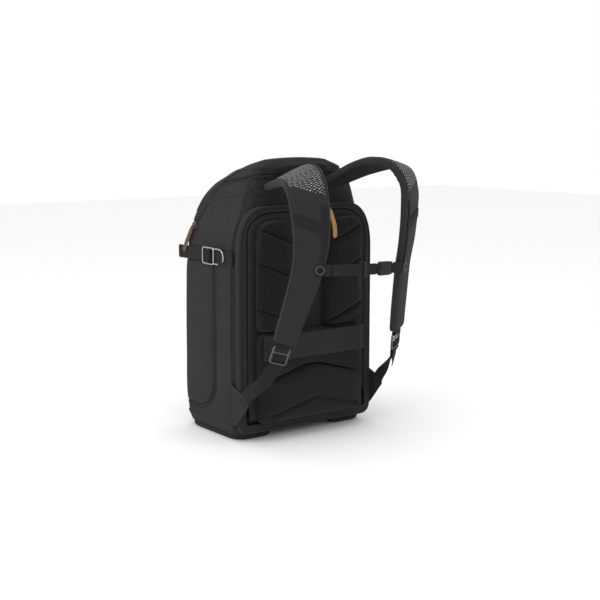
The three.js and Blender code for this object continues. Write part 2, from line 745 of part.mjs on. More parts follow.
const keeperIn = -chestY + webbingThickness / 2 + gap;
const keeperOut = -chestY - 1.5 * webbingThickness - 2 * gap;
const keeperSolid = cut(
  toSolid(block(-keeperWidth, 0, -chestY - keeperThick + buckleRim, -chestY + buckleRim,
    ringAt.z - buckleTall / 2, ringAt.z + buckleTall / 2)),
  toSolid(block(-keeperWidth - 1, 1, keeperOut - 2 * gap, keeperIn, ringAt.z - chestWebbing / 2 - gap,
    ringAt.z + chestWebbing / 2 + gap)));
add('sternum_keeper', hung(toGeometry(keeperSolid)), 'plastic');

// Side-release buckle: a hollow body with side windows, and a plug whose two arms end inside it
const buckleSplit = chestBuckleX + chestBuckleLength * buckleShare;

function buckleBlock(x0, x1, tall, thick) {
  return toSolid(block(x0, x1, -chestY - thick / 2, -chestY + thick / 2,
    ringAt.z - tall / 2, ringAt.z + tall / 2));
}
const windowEnd = buckleSplit - buckleRim;
const socketRoom = buckleThick - buckleArm;
const socket = cut(buckleBlock(chestBuckleX, buckleSplit, buckleTall, buckleThick),
  buckleBlock(chestBuckleX + 2 * buckleRim, buckleSplit + 1, buckleTall - 2 * buckleRim, socketRoom),
  buckleBlock(chestBuckleX + 2 * buckleRim + 1, windowEnd, buckleTall + 1, socketRoom));
add('buckle_socket', hung(toGeometry(socket)), 'plastic');
const plugEnd = chestBuckleX + chestBuckleLength;
const armEnd = chestBuckleX + 2 * buckleRim + 2;
const armSpan = buckleTall - 2 * buckleRim - 2;
const arms = cut(buckleBlock(armEnd, buckleSplit + 1, armSpan, socketRoom - 1),
  buckleBlock(armEnd - 1, buckleSplit, armSpan - 2 * buckleArm, buckleThick));
const plug = join(buckleBlock(buckleSplit + gap, plugEnd, buckleTall - 1, buckleThick - 1), arms);
add('buckle_plug', hung(toGeometry(plug)), 'plastic');

// Compression straps: webbing, a ladder buckle with a hook, and the anchor that it hooks over
const sideFace = bodyWidth / 2 + gap;
const sideBand = (front, rear) => block(sideFace, sideFace + webbingThickness, rear, front,
  hookHeight - webbing / 2, hookHeight + webbing / 2);
addPair('compression_strap', sideBand(stubReach, hookFrameFront + gap), 'webbing');
const frameX = sideFace + webbingThickness + gap;
const hookFrame = barFrame(lockWidth, hookFrameLength, wire, wire, 2);
hookFrame.applyMatrix4(new THREE.Matrix4().makeBasis(
  new THREE.Vector3(0, 0, 1), new THREE.Vector3(0, -1, 0), new THREE.Vector3(1, 0, 0)));
hookFrame.translate(frameX + wire / 2, hookFrameFront + hookReach - hookFrameLength / 2, hookHeight);
addPair('ladder_buckle', hookFrame, 'metal');

function hookShape() {
  const shape = new THREE.Shape();
  const frameEnd = hookFrameFront + hookReach - hookFrameLength - gap;
  const centreY = frameEnd - hookStraight;
  const from = Math.PI * 0.5;
  const to = Math.PI * 1.25;
  shape.moveTo(frameEnd, hookHeight + hookRadius);
  shape.absarc(centreY, hookHeight, hookRadius, from, to, false);
  shape.absarc(centreY, hookHeight, hookRadius - wire, to, from, true);
  shape.lineTo(frameEnd, hookHeight + hookRadius - wire);
  return shape;
}
addPair('buckle_hook', sideSlab(hookShape(), frameX, frameX + wire, 10), 'metal');
addPair('compression_anchor', sideBand(hookFrameFront - hookFrameLength * 0.75, -anchorRear), 'webbing');

// Grab handle: a padded bar that stands off the back of the roof, open under and behind it
const handleShape = [
  { across: 1, out: 0, drop: 7 },
  { across: 0.96, out: 0.42, drop: 6 },
  { across: 0.78, out: 0.82, drop: 3.5 },
  { across: 0.42, out: 0.98, drop: 1 },
  { across: 0, out: 1, drop: 0 },
];
const handleRoot = backReach * 0.885;
const handlePoint = (row, side) => new THREE.Vector3(
  (side * row.across * handleSpan) / 2, -handleRoot - row.out * handleReach, handleHeight - row.drop);
const handleCurve = new THREE.CatmullRomCurve3([
  ...handleShape.map((row) => handlePoint(row, -1)),
  ...handleShape.slice(0, -1).reverse().map((row) => handlePoint(row, 1)),
]);
const handleStations = Array.from({ length: handleSteps + 1 }, (_, i) => {
  const at = handleCurve.getPoint(i / handleSteps);
  const along = handleCurve.getTangent(i / handleSteps);
  const across = new THREE.Vector3(0, 0, 1).addScaledVector(along, -along.z).normalize();
  return { at, across, out: new THREE.Vector3().crossVectors(along, across) };
});
const handle = cut(toSolid(band(handleStations, handleWidth, handleThickness, 3)), bagSeat);
add('grab_handle', toGeometry(handle), 'canvas');

// Zip sliders and their leather pulls
const zipFace = doorFace - 1.5 + gap;
const backSlider = block(backSliderX - sliderLength / 2, backSliderX + sliderLength / 2,
  -zipFace - sliderThickness, -zipFace, archTop - backZipWidth + 0.8, archTop - gap - 0.8);
add('back_zip_slider', backSlider, 'darkMetal');

function pullStations(points, across) {
  return points.map((at, i) => {
    const next = points[Math.min(i + 1, points.length - 1)];
    const along = next.clone().sub(points[Math.max(i - 1, 0)]).normalize();
    const side = across.clone().addScaledVector(along, -along.dot(across)).normalize();
    return { at, across: side, out: new THREE.Vector3().crossVectors(along, side) };
  });
}
const backPullTop = archTop - backZipWidth / 2;
const backPullSeat = -zipFace - sliderThickness - gap - pullThickness / 2;
const pullFront = -padFace - gap - pullThickness / 2;
const backPull = [
  new THREE.Vector3(backSliderX, backPullSeat, backPullTop + 3),
  new THREE.Vector3(backSliderX, backPullSeat, backPullTop - 1),
  new THREE.Vector3(backSliderX, (pullFront + backPullSeat) / 2 - 1, backPullTop - 6),
  new THREE.Vector3(backSliderX - 1, pullFront - 1, backPullTop - 10),
  new THREE.Vector3(backSliderX - 1, pullFront - 1, backPullTop - leatherLength),
];
add('back_zip_pull',
  band(pullStations(backPull, new THREE.Vector3(1, 0, 0)), leatherWidth, pullThickness), 'leather');

const sliderShare = (lidSliderZ - sliderLength / 2 - footHeight) / (roofHeight - footHeight);
const rowAbove = bagSections.findIndex((row) => row.height >= sliderShare);
const [lower, upper] = bagSections.slice(rowAbove - 1, rowAbove + 1);
const sliderMix = (sliderShare - lower.height) / (upper.height - lower.height);
const lidSliderX = ((lower.width + (upper.width - lower.width) * sliderMix) * bodyWidth) / 2 + gap;
add('lid_zip_slider', block(-lidSliderX - sliderThickness, -lidSliderX, lidCorner - 9, lidCorner - 1,
  lidSliderZ - sliderLength / 2, lidSliderZ + sliderLength / 2), 'darkMetal');
const lidPullOut = lidSliderX + sliderThickness + gap + pullThickness / 2;
const lidPullClear = sideFace + webbingThickness + gap + 0.2 + pullThickness / 2;
const lidPullRoute = [
  { down: 0, out: 0 },
  { down: 0.3, out: 0.7 },
  { down: 0.65, out: 1 },
  { down: 1, out: 1 },
];
const lidPull = lidPullRoute.map(({ down, out }) => new THREE.Vector3(
  -lidPullOut - (lidPullClear - lidPullOut) * out,
  lidCorner - 5 + pullSwing * down,
  lidSliderZ - leatherLength * down));
add('lid_zip_pull',
  band(pullStations(lidPull, new THREE.Vector3(0, -1, 0)), leatherWidth, pullThickness), 'leather');

// The origin goes under the middle of the outer box
const outerBox = new THREE.Box3().setFromObject(pack);
pack.position.y = -(outerBox.min.y + outerBox.max.y) / 2;

export default pack;
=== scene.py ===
import math

import bmesh
import bpy
import numpy as np
from mathutils import Matrix, Vector, noise


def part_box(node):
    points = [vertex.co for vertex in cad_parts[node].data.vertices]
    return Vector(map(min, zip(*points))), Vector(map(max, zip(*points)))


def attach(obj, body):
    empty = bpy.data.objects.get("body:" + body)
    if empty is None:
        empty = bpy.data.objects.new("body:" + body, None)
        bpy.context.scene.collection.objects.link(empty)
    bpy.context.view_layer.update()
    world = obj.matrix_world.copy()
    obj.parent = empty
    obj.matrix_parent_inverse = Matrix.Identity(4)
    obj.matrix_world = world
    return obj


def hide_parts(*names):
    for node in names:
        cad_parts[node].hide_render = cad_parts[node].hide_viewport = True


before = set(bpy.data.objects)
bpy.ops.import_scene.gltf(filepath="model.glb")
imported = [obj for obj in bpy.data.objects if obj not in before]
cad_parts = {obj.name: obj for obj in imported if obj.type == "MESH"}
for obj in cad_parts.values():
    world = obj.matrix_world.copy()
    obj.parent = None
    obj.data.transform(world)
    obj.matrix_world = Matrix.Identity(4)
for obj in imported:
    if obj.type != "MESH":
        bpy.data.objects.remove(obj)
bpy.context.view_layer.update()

# The view: a long lens from behind the wearer's left side, a little above the pack.
# The pack stands on a plain pale floor in soft light from large overhead panels.
# All sizes below are in millimetres, with y measured from the middle of the bag.
mid_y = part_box("body_shell")[0][1] * 1000 + 80


def place(x, y, z):
    return Vector((x, y + mid_y, z)) / 1000


lens = bpy.data.cameras.new("photo_camera")
lens.lens = 71.0
lens.sensor_width = 36
lens.clip_end = 50
camera = bpy.data.objects.new("photo_camera", lens)
eye = place(-1314.6, -1843.8, 590.0)
aim = place(51.66, 0, 236.8)
camera.location = eye
camera.rotation_euler = (aim - eye).to_track_quat("-Z", "Y").to_euler()
bpy.context.scene.collection.objects.link(camera)
bpy.context.scene.camera = camera
bpy.context.scene.view_settings.view_transform = "Standard"

floor_mesh = bpy.data.meshes.new("studio_floor")
floor_size = 6
floor_mesh.from_pydata([(-floor_size, -floor_size, 0), (floor_size, -floor_size, 0),
                        (floor_size, floor_size, 0), (-floor_size, floor_size, 0)], [], [(0, 1, 2, 3)])
studio_floor = bpy.data.objects.new("studio_floor", floor_mesh)
bpy.context.scene.collection.objects.link(studio_floor)
paper = bpy.data.materials.new("floor_paper")
paper.use_nodes = True
paper.node_tree.nodes["Principled BSDF"].inputs["Base Color"].default_value = (0.93, 0.93, 0.93, 1)
paper.node_tree.nodes["Principled BSDF"].inputs["Roughness"].default_value = 0.9
floor_mesh.materials.append(paper)

world = bpy.data.worlds.new("studio_air")
bpy.context.scene.world = world
world.use_nodes = True
world.node_tree.nodes["Background"].inputs["Color"].default_value = (1, 1, 1, 1)
world.node_tree.nodes["Background"].inputs["Strength"].default_value = 1.0


def light_panel(name, spot, size, power):
    lamp = bpy.data.lights.new(name, "AREA")
    lamp.size = size
    lamp.energy = power
    panel = bpy.data.objects.new(name, lamp)
    panel.location = spot
    panel.rotation_euler = (Vector((0, 0, 0.28)) - Vector(spot)).to_track_quat("-Z", "Y").to_euler()
    bpy.context.scene.collection.objects.link(panel)


light_panel("overhead_panel", (-0.5, -0.2, 2.4), 1.8, 12)
light_panel("left_panel", (-2.4, -0.1, 1.2), 1.4, 14)
light_panel("rear_panel", (0.9, -2.4, 1.3), 1.4, 3)

# Bag: a hollow shell of charcoal woven polyester over foam, sewn from side, front and base panels.
# Its level outlines are loosely stuffed rounded rectangles that shrink and lean back under the roof.
# The cloth is a plain weave with a faint violet cast.
body_width, roof_height, back_reach, front_reach = 310, 515, 80, 106
rear_corner, front_corner, foot_height = 16, 28, 8.35
bag_levels = np.array([
    # height, width, back, front
    (0, 0.95, 0.93, 0.93), (0.015, 0.975, 0.97, 0.965), (0.05, 0.995, 1, 0.99), (0.18, 1, 1, 1),
    (0.42, 1, 1, 0.975), (0.62, 1, 1, 0.945), (0.7, 0.985, 1, 0.935), (0.755, 0.94, 1, 0.925),
    (0.8, 0.87, 1, 0.885), (0.835, 0.83, 0.99, 0.84), (0.87, 0.8, 0.97, 0.7),
    (0.908, 0.765, 0.945, 0.48), (0.94, 0.71, 0.92, 0.2), (0.968, 0.635, 0.885, -0.08),
    (0.988, 0.54, 0.83, -0.3), (1, 0.43, 0.76, -0.45)])
level_count, smoothing = 520, 7
fine_heights = np.linspace(0, 1, level_count)


def softened(column):
    rough = np.interp(fine_heights, bag_levels[:, 0], column)
    reach = np.arange(-3 * smoothing, 3 * smoothing + 1)
    weight = np.exp(-((reach / smoothing) ** 2) / 2)
    first, last = 2 * rough[0] - rough[reach[-1]:0:-1], 2 * rough[-1] - rough[-2:-reach[-1] - 2:-1]
    return np.convolve(np.concatenate([first, rough, last]), weight / weight.sum(), "valid")


width_levels, back_levels, front_levels = (softened(bag_levels[:, i]) for i in (1, 2, 3))


def outline_at(z):
    share = (np.asarray(z, float) - foot_height) / (roof_height - foot_height)
    half = np.interp(share, fine_heights, width_levels) * body_width / 2
    back = np.interp(share, fine_heights, back_levels) * back_reach
    front = np.interp(share, fine_heights, front_levels) * front_reach
    room = np.minimum(half, (front + back) / 2) * 0.9
    return half, back, front, np.minimum(rear_corner, room), np.minimum(front_corner, room)


def cloth_run(z):
    """Lengths of cloth from the side's middle line forward and back to the centre lines."""
    half, back, front, rear, fore = outline_at(z)
    quarter = math.pi / 2
    return front - fore + quarter * fore + half - fore, back - rear + quarter * rear + half - rear


def skin(s, z, side):
    """Point on the bag at s along the cloth from y = 0 on a side, and its outward direction."""
    def spot(s, z):
        half, back, front, rear, fore = outline_at(z)
        quarter = math.pi / 2
        ahead, behind = s - (front - fore), -s - (back - rear)
        a, b = np.clip(ahead / fore, 0, quarter), np.clip(behind / rear, 0, quarter)
        x = np.where(ahead > 0, half - fore + fore * np.cos(a), half)
        x = np.where(behind > 0, half - rear + rear * np.cos(b), x)
        x = x - np.maximum(ahead - quarter * fore, 0) - np.maximum(behind - quarter * rear, 0)
        y = np.where(ahead > 0, front - fore + fore * np.sin(a), s)
        y = np.where(behind > 0, -(back - rear) - rear * np.sin(b), y)
        return np.stack([side * x, y, z + 0 * s], -1)
    s, z = np.asarray(s, float), np.asarray(z, float)
    step = 1.5
    along = spot(s + step, z) - spot(s - step, z)
    low, high = np.maximum(z - step, foot_height), np.minimum(z + step, roof_height)
    up = spot(s, high) - spot(s, low)
    out = np.cross(along, up) * side
    out /= np.maximum(np.linalg.norm(out, axis=-1, keepdims=True), 1e-9)
    return spot(s, z), out


def wander(points, size, seed):
    """Smooth unevenness between -1 and 1 at a feature size in millimetres."""
    flat = np.asarray(points).reshape(-1, 3)
    values = [noise.noise(Vector(p) / size + Vector((seed * 7.3, seed * 3.1, seed))) for p in flat]
    return np.array(values).reshape(np.asarray(points).shape[:-1])


def grid_faces(rows, columns, closed=False, start=0):
    faces = []
    for r in range(rows - 1):
        for c in range(columns if closed else columns - 1):
            a, b = start + r * columns + c, start + r * columns + (c + 1) % columns
            faces.append((a, b, b + columns, a + columns))
    return faces


def make_piece(name, points, faces, finish, slot, nodes=(), smooth=1, weld=0.0, recalc=True, lay=None):
    """A mesh piece from points in millimetres. It rides on the pack and may stand for CAD nodes.

    lay gives each point's place on the cloth, in millimetres, as the piece's UV map.
    """
    mesh = bpy.data.meshes.new(name)
    mesh.from_pydata([place(*p) for p in np.asarray(points).reshape(-1, 3)], [], faces)
    if lay is not None:
        corners = np.array([loop.vertex_index for loop in mesh.loops])
        flat = mesh.uv_layers.new(name="cloth")
        flat.data.foreach_set("uv", (np.asarray(lay)[corners] / 1000).astype(np.float32).ravel())
    work = bmesh.new()
    work.from_mesh(mesh)
    if weld:
        bmesh.ops.remove_doubles(work, verts=work.verts, dist=weld / 1000)
    if recalc:
        bmesh.ops.recalc_face_normals(work, faces=work.faces)
    work.to_mesh(mesh)
    work.free()
    mesh.polygons.foreach_set("use_smooth", [True] * len(mesh.polygons))
    piece = bpy.data.objects.new(name, mesh)
    bpy.context.scene.collection.objects.link(piece)
    mesh.materials.append(finish)
    if smooth:
        rounding = piece.modifiers.new("rounding", "SUBSURF")
        rounding.levels = rounding.render_levels = smooth
    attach(piece, "root")
    if nodes:
        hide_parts(*nodes)
    return piece


def cloth_finish(name, light, dark, thread=0.9, roughness=0.85, sheen=0.15, relief=0.25, mottle=22,
                 wear=0.0, twill=1.0, laid=False):
    """Woven cloth: crossing threads, mottled dye and soft creases, in Object coordinates or as laid."""
    material = bpy.data.materials.new(name)
    material.use_nodes = True
    tree = material.node_tree
    nodes, links = tree.nodes, tree.links
    shader = nodes["Principled BSDF"]
    shader.inputs["Roughness"].default_value = roughness
    shader.inputs["Sheen Weight"].default_value = sheen * 0.3
    shader.inputs["Sheen Roughness"].default_value = 0.6
    shader.inputs["Specular IOR Level"].default_value = 0.05
    where = nodes.new("ShaderNodeTexCoord")

    def spread(scale):
        mapping = nodes.new("ShaderNodeMapping")
        mapping.inputs["Scale"].default_value = scale
        links.new(where.outputs["Object"], mapping.inputs["Vector"])
        return mapping.outputs["Vector"]

    def speckle(scale, detail, vector=None):
        node = nodes.new("ShaderNodeTexNoise")
        node.inputs["Scale"].default_value = scale
        node.inputs["Detail"].default_value = detail
        links.new(vector or where.outputs["Object"], node.inputs["Vector"])
        return node.outputs["Fac"]

    def threads(direction, scale):
        node = nodes.new("ShaderNodeTexWave")
        node.wave_type, node.bands_direction = "BANDS", direction
        node.inputs["Scale"].default_value = scale
        node.inputs["Distortion"].default_value = 0.6
        node.inputs["Detail"].default_value = 1
        node.inputs["Detail Scale"].default_value = 3
        return node

    def joined(kind, a, b):
        node = nodes.new("ShaderNodeMath")
        node.operation = kind
        for socket, value in zip(node.inputs, (a, b)):
            if isinstance(value, (int, float)):
                socket.default_value = value
            else:
                links.new(value, socket)
        return node.outputs[0]

    pitch = 1000 / thread / 20 * math.tau
    across, up = threads("DIAGONAL", pitch), threads("Z", pitch)
    if laid:
        across.bands_direction, up.bands_direction = "X", "Y"
        links.new(where.outputs["UV"], across.inputs["Vector"])
        links.new(where.outputs["UV"], up.inputs["Vector"])
    else:
        links.new(spread((1, 1, 0)), across.inputs["Vector"])
        links.new(where.outputs["Object"], up.inputs["Vector"])
    weave = joined("MULTIPLY", across.outputs["Fac"], joined("MULTIPLY", up.outputs["Fac"], twill))
    dye = speckle(mottle, 4)
    fibre = speckle(900, 2)
    mix = nodes.new("ShaderNodeMix")
    mix.data_type = "RGBA"
    mix.inputs["A"].default_value = (*dark, 1)
    mix.inputs["B"].default_value = (*light, 1)
    shade = joined("ADD", joined("MULTIPLY", dye, 0.45), joined("MULTIPLY", fibre, 0.3))
    shade = joined("ADD", shade, joined("MULTIPLY", weave, 0.3))
    if wear:
        bend = nodes.new("ShaderNodeNewGeometry")
        edge = nodes.new("ShaderNodeMapRange")
        edge.inputs["From Min"].default_value = 0.505
        edge.inputs["From Max"].default_value = 0.56
        edge.inputs["To Max"].default_value = wear
        links.new(bend.outputs["Pointiness"], edge.inputs["Value"])
        shade = joined("ADD", shade, edge.outputs["Result"])
    links.new(shade, mix.inputs["Factor"])
    links.new(mix.outputs["Result"], shader.inputs["Base Color"])
    height = joined("ADD", joined("MULTIPLY", weave, 0.5), joined("MULTIPLY", speckle(60, 3), 1.6))
    bump = nodes.new("ShaderNodeBump")
    bump.inputs["Strength"].default_value = relief
    bump.inputs["Distance"].default_value = 0.0012
    links.new(height, bump.inputs["Height"])
    links.new(bump.outputs["Normal"], shader.inputs["Normal"])
    return material


canvas = cloth_finish("charcoal_canvas", (0.032, 0.0285, 0.0318), (0.0175, 0.0157, 0.0175))


def bag_ring(z, gap_to_centre=0.0):
    """Places along the cloth at one height, from the back's centre round a side to the front's."""
    half, back, front, rear, fore = outline_at(z)
    forward, backward = cloth_run(z)
    return np.concatenate([
        np.linspace(-backward, -(back - rear) - math.pi / 2 * rear, 17)[:-1],
        np.linspace(-(back - rear) - math.pi / 2 * rear, -(back - rear), 5)[:-1],
        np.linspace(-(back - rear), front - fore, 27)[:-1],
        np.linspace(front - fore, front - fore + math.pi / 2 * fore, 8)[:-1],
        np.linspace(front - fore + math.pi / 2 * fore, forward, 17)])


# Front pocket and lid share these lines: the pocket's zip runs down both sides and along the base,
# and the lid's zip slopes from the rear corners over the shoulders of the bag down to the front.
pocket_seam, pocket_top, pocket_bottom, pocket_bend, pocket_zip = -16, 326, 46, 60, 9
lid_line = np.array([(-100, 493), (23.3, 470), (50.9, 436), (66, 396), (140, 396)])
lid_zip = 9


def inside_pocket(y, z):
    """Distance inside the middle line of the pocket's zip, seen from the side."""
    y, z = np.asarray(y, float), np.asarray(z, float)
    in_corner = (y < pocket_seam + pocket_bend) & (z < pocket_bottom + pocket_bend)
    round_part = pocket_bend - np.hypot(y - pocket_seam - pocket_bend, z - pocket_bottom - pocket_bend)
    return np.where(in_corner, round_part, np.minimum(y - pocket_seam, z - pocket_bottom))


def above_lid(y, z):
    """Distance above the lower edge of the lid, seen from the side."""
    y, z = np.asarray(y, float), np.asarray(z, float)
    nearest = np.full(np.broadcast(y, z).shape, 1e9)
    for (y0, z0), (y1, z1) in zip(lid_line[:-1], lid_line[1:]):
        run = np.array([y1 - y0, z1 - z0])
        t = np.clip(((y - y0) * run[0] + (z - z0) * run[1]) / run.dot(run), 0, 1)
        nearest = np.minimum(nearest, np.hypot(y - y0 - t * run[0], z - z0 - t * run[1]))
    over = z > np.interp(y, lid_line[:, 0], lid_line[:, 1])
    return np.where(over, nearest, -nearest)


def ramp(value, low, high):
    t = np.clip((np.asarray(value, float) - low) / (high - low), 0, 1)
    return t * t * (3 - 2 * t)


def bag_lift(points):
    """How far the bag's cloth stands out: sunk under the pocket, lid and back, and slightly slack."""
    y, z = points[..., 1], points[..., 2]
    under_pocket = ramp(inside_pocket(y, z), -4.5, -1) * (z < pocket_top + 4)
    under_lid = ramp(above_lid(y, z), -8, -5)
    under_back = ramp(-y, 74, 79) * (1 - ramp(z, 415, 430))
    slack = 1.1 * wander(points, 90, 1) + 0.5 * wander(points * (1, 1, 0.35), 24, 2)
    sunk = np.maximum(np.maximum(under_pocket, under_lid), 0.02 * under_back)
    return slack * ramp(z, 20, 60) * (1 - under_back) - 3.4 * sunk


bag_rows = np.concatenate([np.linspace(foot_height, 60, 12)[:-1], np.linspace(60, 380, 50)[:-1],
                           np.linspace(380, roof_height, 34)])
rings = []
for z in bag_rows:
    run = bag_ring(z)
    left, left_out = skin(run, np.full(len(run), z), -1)
    right, right_out = skin(run[1:-1], np.full(len(run) - 2, z), 1)
    points = np.concatenate([left, right[::-1]])
    out = np.concatenate([left_out, right_out[::-1]])
    rings.append(points + out * bag_lift(points)[:, None])
for ring_z, ring, shares in ((foot_height, rings[0], (0.93, 0.8, 0.5, 0.2)),
                             (roof_height, rings[-1], (0.9, 0.7, 0.4, 0.15))):
    centre = ring.mean(axis=0)
    flat = [centre + (ring - centre) * share for share in shares]
    if ring_z == roof_height:
        rings = rings + flat
    else:
        rings = flat[::-1] + rings
columns = len(rings[0])
faces = grid_faces(len(rings), columns, closed=True)
faces += [tuple(range(columns))[::-1], tuple(range((len(rings) - 1) * columns, len(rings) * columns))]
make_piece("bag_cloth", np.concatenate(rings), faces, canvas, "canvas", ["body_shell"])

# Front pocket: a padded panel of the same cloth that wraps the front and comes round onto both sides.
# Its edge is turned under beside the zip and topstitched, and the foam makes it stand a little proud.


def sweep(points, outward, profile, closed_path=False):
    """A profile in (across, out) millimetres carried along a path; a closed solid with flat ends."""
    points, outward = np.asarray(points, float), np.asarray(outward, float)
    if closed_path:
        ahead = np.roll(points, -1, axis=0) - np.roll(points, 1, axis=0)
    else:
        ahead = np.gradient(points, axis=0)
    ahead /= np.linalg.norm(ahead, axis=1, keepdims=True)
    across = np.cross(outward, ahead)
    across /= np.linalg.norm(across, axis=1, keepdims=True)
    out = np.cross(ahead, across)
    count = len(profile)
    spots = [p + a * u + o * v for p, a, o in zip(points, across, out) for u, v in profile]
    faces = grid_faces(len(points), count, closed=True)
    if closed_path:
        last = (len(points) - 1) * count
        faces += [(last + c, last + (c + 1) % count, (c + 1) % count, c) for c in range(count)]
    else:
        faces += [tuple(range(count))[::-1], tuple(range(len(spots) - count, len(spots)))]
    return np.array(spots), faces


def merged(parts):
    spots, faces, start = [], [], 0
    for points, part_faces in parts:
        spots.append(points)
        faces += [tuple(i + start for i in face) for face in part_faces]
        start += len(points)
    return np.concatenate(spots), faces


def patch(rows, depth, lift):
    """A cloth panel over rows of (points, outward): a front face, a hidden back face and turned edges."""
    points = np.array([p for p, _ in rows])
    outward = np.array([n for _, n in rows])
    count = points.shape[1]
    front = points + outward * lift(points)[..., None]
    back = points + outward * depth
    spots = np.concatenate([front.reshape(-1, 3), back.reshape(-1, 3)])
    total = len(rows) * count
    faces = grid_faces(len(rows), count)
    faces += [tuple(i + total for i in face)[::-1] for face in grid_faces(len(rows), count)]
    rim = [(0, c) for c in range(count)] + [(r, count - 1) for r in range(1, len(rows))]
    rim += [(len(rows) - 1, c) for c in range(count - 2, -1, -1)] + [(r, 0) for r in range(len(rows) - 2, 0, -1)]
    ring = [r * count + c for r, c in rim]
    for a, b in zip(ring, ring[1:] + ring[:1]):
        faces.append((b, a, a + total, b + total))
    return spots, faces


def across_bag(s_left, z, steps):
    """Points from s_left on the left side round the front to the same place on the right."""
    forward = float(cloth_run(z)[0])
    run = np.linspace(s_left, forward, steps)
    left, left_out = skin(run, np.full(steps, z), -1)
    right, right_out = skin(run[:-1], np.full(steps - 1, z), 1)
    return np.concatenate([left, right[::-1]]), np.concatenate([left_out, right_out[::-1]])


def pocket_start(z, inset):
    """Where the pocket's edge, set in from the zip's middle line, crosses one height on the side."""
    bend, seam = pocket_bend - inset, pocket_seam + inset
    low = pocket_bottom + inset
    if z >= low + bend:
        return seam
    return seam + bend - math.sqrt(max(bend ** 2 - (low + bend - z) ** 2, 0))


edge_inset = pocket_zip / 2 + 0.3


def pocket_lift(points):
    depth = np.minimum(inside_pocket(points[..., 1], points[..., 2]) - edge_inset, pocket_top - points[..., 2])
    swell = 2.2 * (1 - np.exp(-np.maximum(depth, 0) / 9)) - 1.3 * np.exp(-np.maximum(depth, 0) / 1.1)
    slack = 1.3 * wander(points, 110, 4) + 0.5 * wander(points * (1, 1, 0.4), 30, 5)
    return swell + slack * ramp(depth, 0, 25) + 0.3


low_rows = pocket_bottom + edge_inset + np.array([0, 0.8, 1.8, 3.4, 5.6, 8.5, 12, 16.5, 22, 28, 35, 43])
pocket_rows = np.concatenate([low_rows, np.linspace(low_rows[-1], pocket_top - 6, 42)[1:],
                              pocket_top - np.array([4, 2.5, 1.2, 0.4])])
rows = [across_bag(pocket_start(z, edge_inset), z, 62) for z in pocket_rows]
make_piece("pocket_panel", *patch(rows, -3.2, pocket_lift), canvas, "canvas", ["front_pocket"])


# Pocket zip: a coil zip sewn with the coil inside, so two rounded tape edges meet over a fine slit.
# It runs down the left side, round the corner, along the base of the front and up the right side.
# The tapes are smooth black polyester with a dull coating, sunk between the two cloth edges.
tape = cloth_finish("zip_tape", (0.033, 0.030, 0.033), (0.019, 0.0175, 0.019), thread=0.6, roughness=0.6,
                    sheen=0.05, relief=0.15)
coil_nylon = cloth_finish("zip_coil", (0.016, 0.015, 0.016), (0.007, 0.007, 0.007), thread=0.4, roughness=0.4,
                          sheen=0.0, relief=0.05)


def zip_profile(width, depth):
    half = width / 2
    right = [(0.22, -0.5), (0.45, 0.25), (0.9, 0.55), (half * 0.42, 0.35), (half * 0.62, -0.35),
             (half * 0.8, -1.3), (half * 1.02, -1.5), (half * 1.02, -depth)]
    return [(-u, v) for u, v in right[::-1]] + right


def joined_path(left_run, outward=None):
    """A path down the left side that goes on, mirrored, up the right side."""
    points, out = left_run
    flip = np.array([-1, 1, 1])
    return np.concatenate([points, (points * flip)[::-1][1:]]), np.concatenate([out, (out * flip)[::-1][1:]])


def on_bag(s, z, side=-1):
    return skin(np.asarray(s, float), np.asarray(z, float), side)


def pocket_path(inset, step=4.0, top=pocket_top):
    """The pocket's edge line, on the side and round the base to the front's centre."""
    bend, seam, low = pocket_bend - inset, pocket_seam + inset, pocket_bottom + inset
    down = np.arange(top, low + bend, -step)
    turn = np.linspace(math.pi, 1.5 * math.pi, int(bend * 1.57 / step))
    forward = float(cloth_run(low)[0])
    ahead = np.arange(seam + bend + step, forward, step)
    s = np.concatenate([np.full(len(down), seam), seam + bend + bend * np.cos(turn), ahead, [forward]])
    z = np.concatenate([down, low + bend + bend * np.sin(turn), np.full(len(ahead) + 1, low)])
    return on_bag(s, z)


zip_path = joined_path(pocket_path(0))
make_piece("pocket_zip_tapes", *sweep(*zip_path, zip_profile(pocket_zip, 3.2)), tape, "zip", ["pocket_zip"])


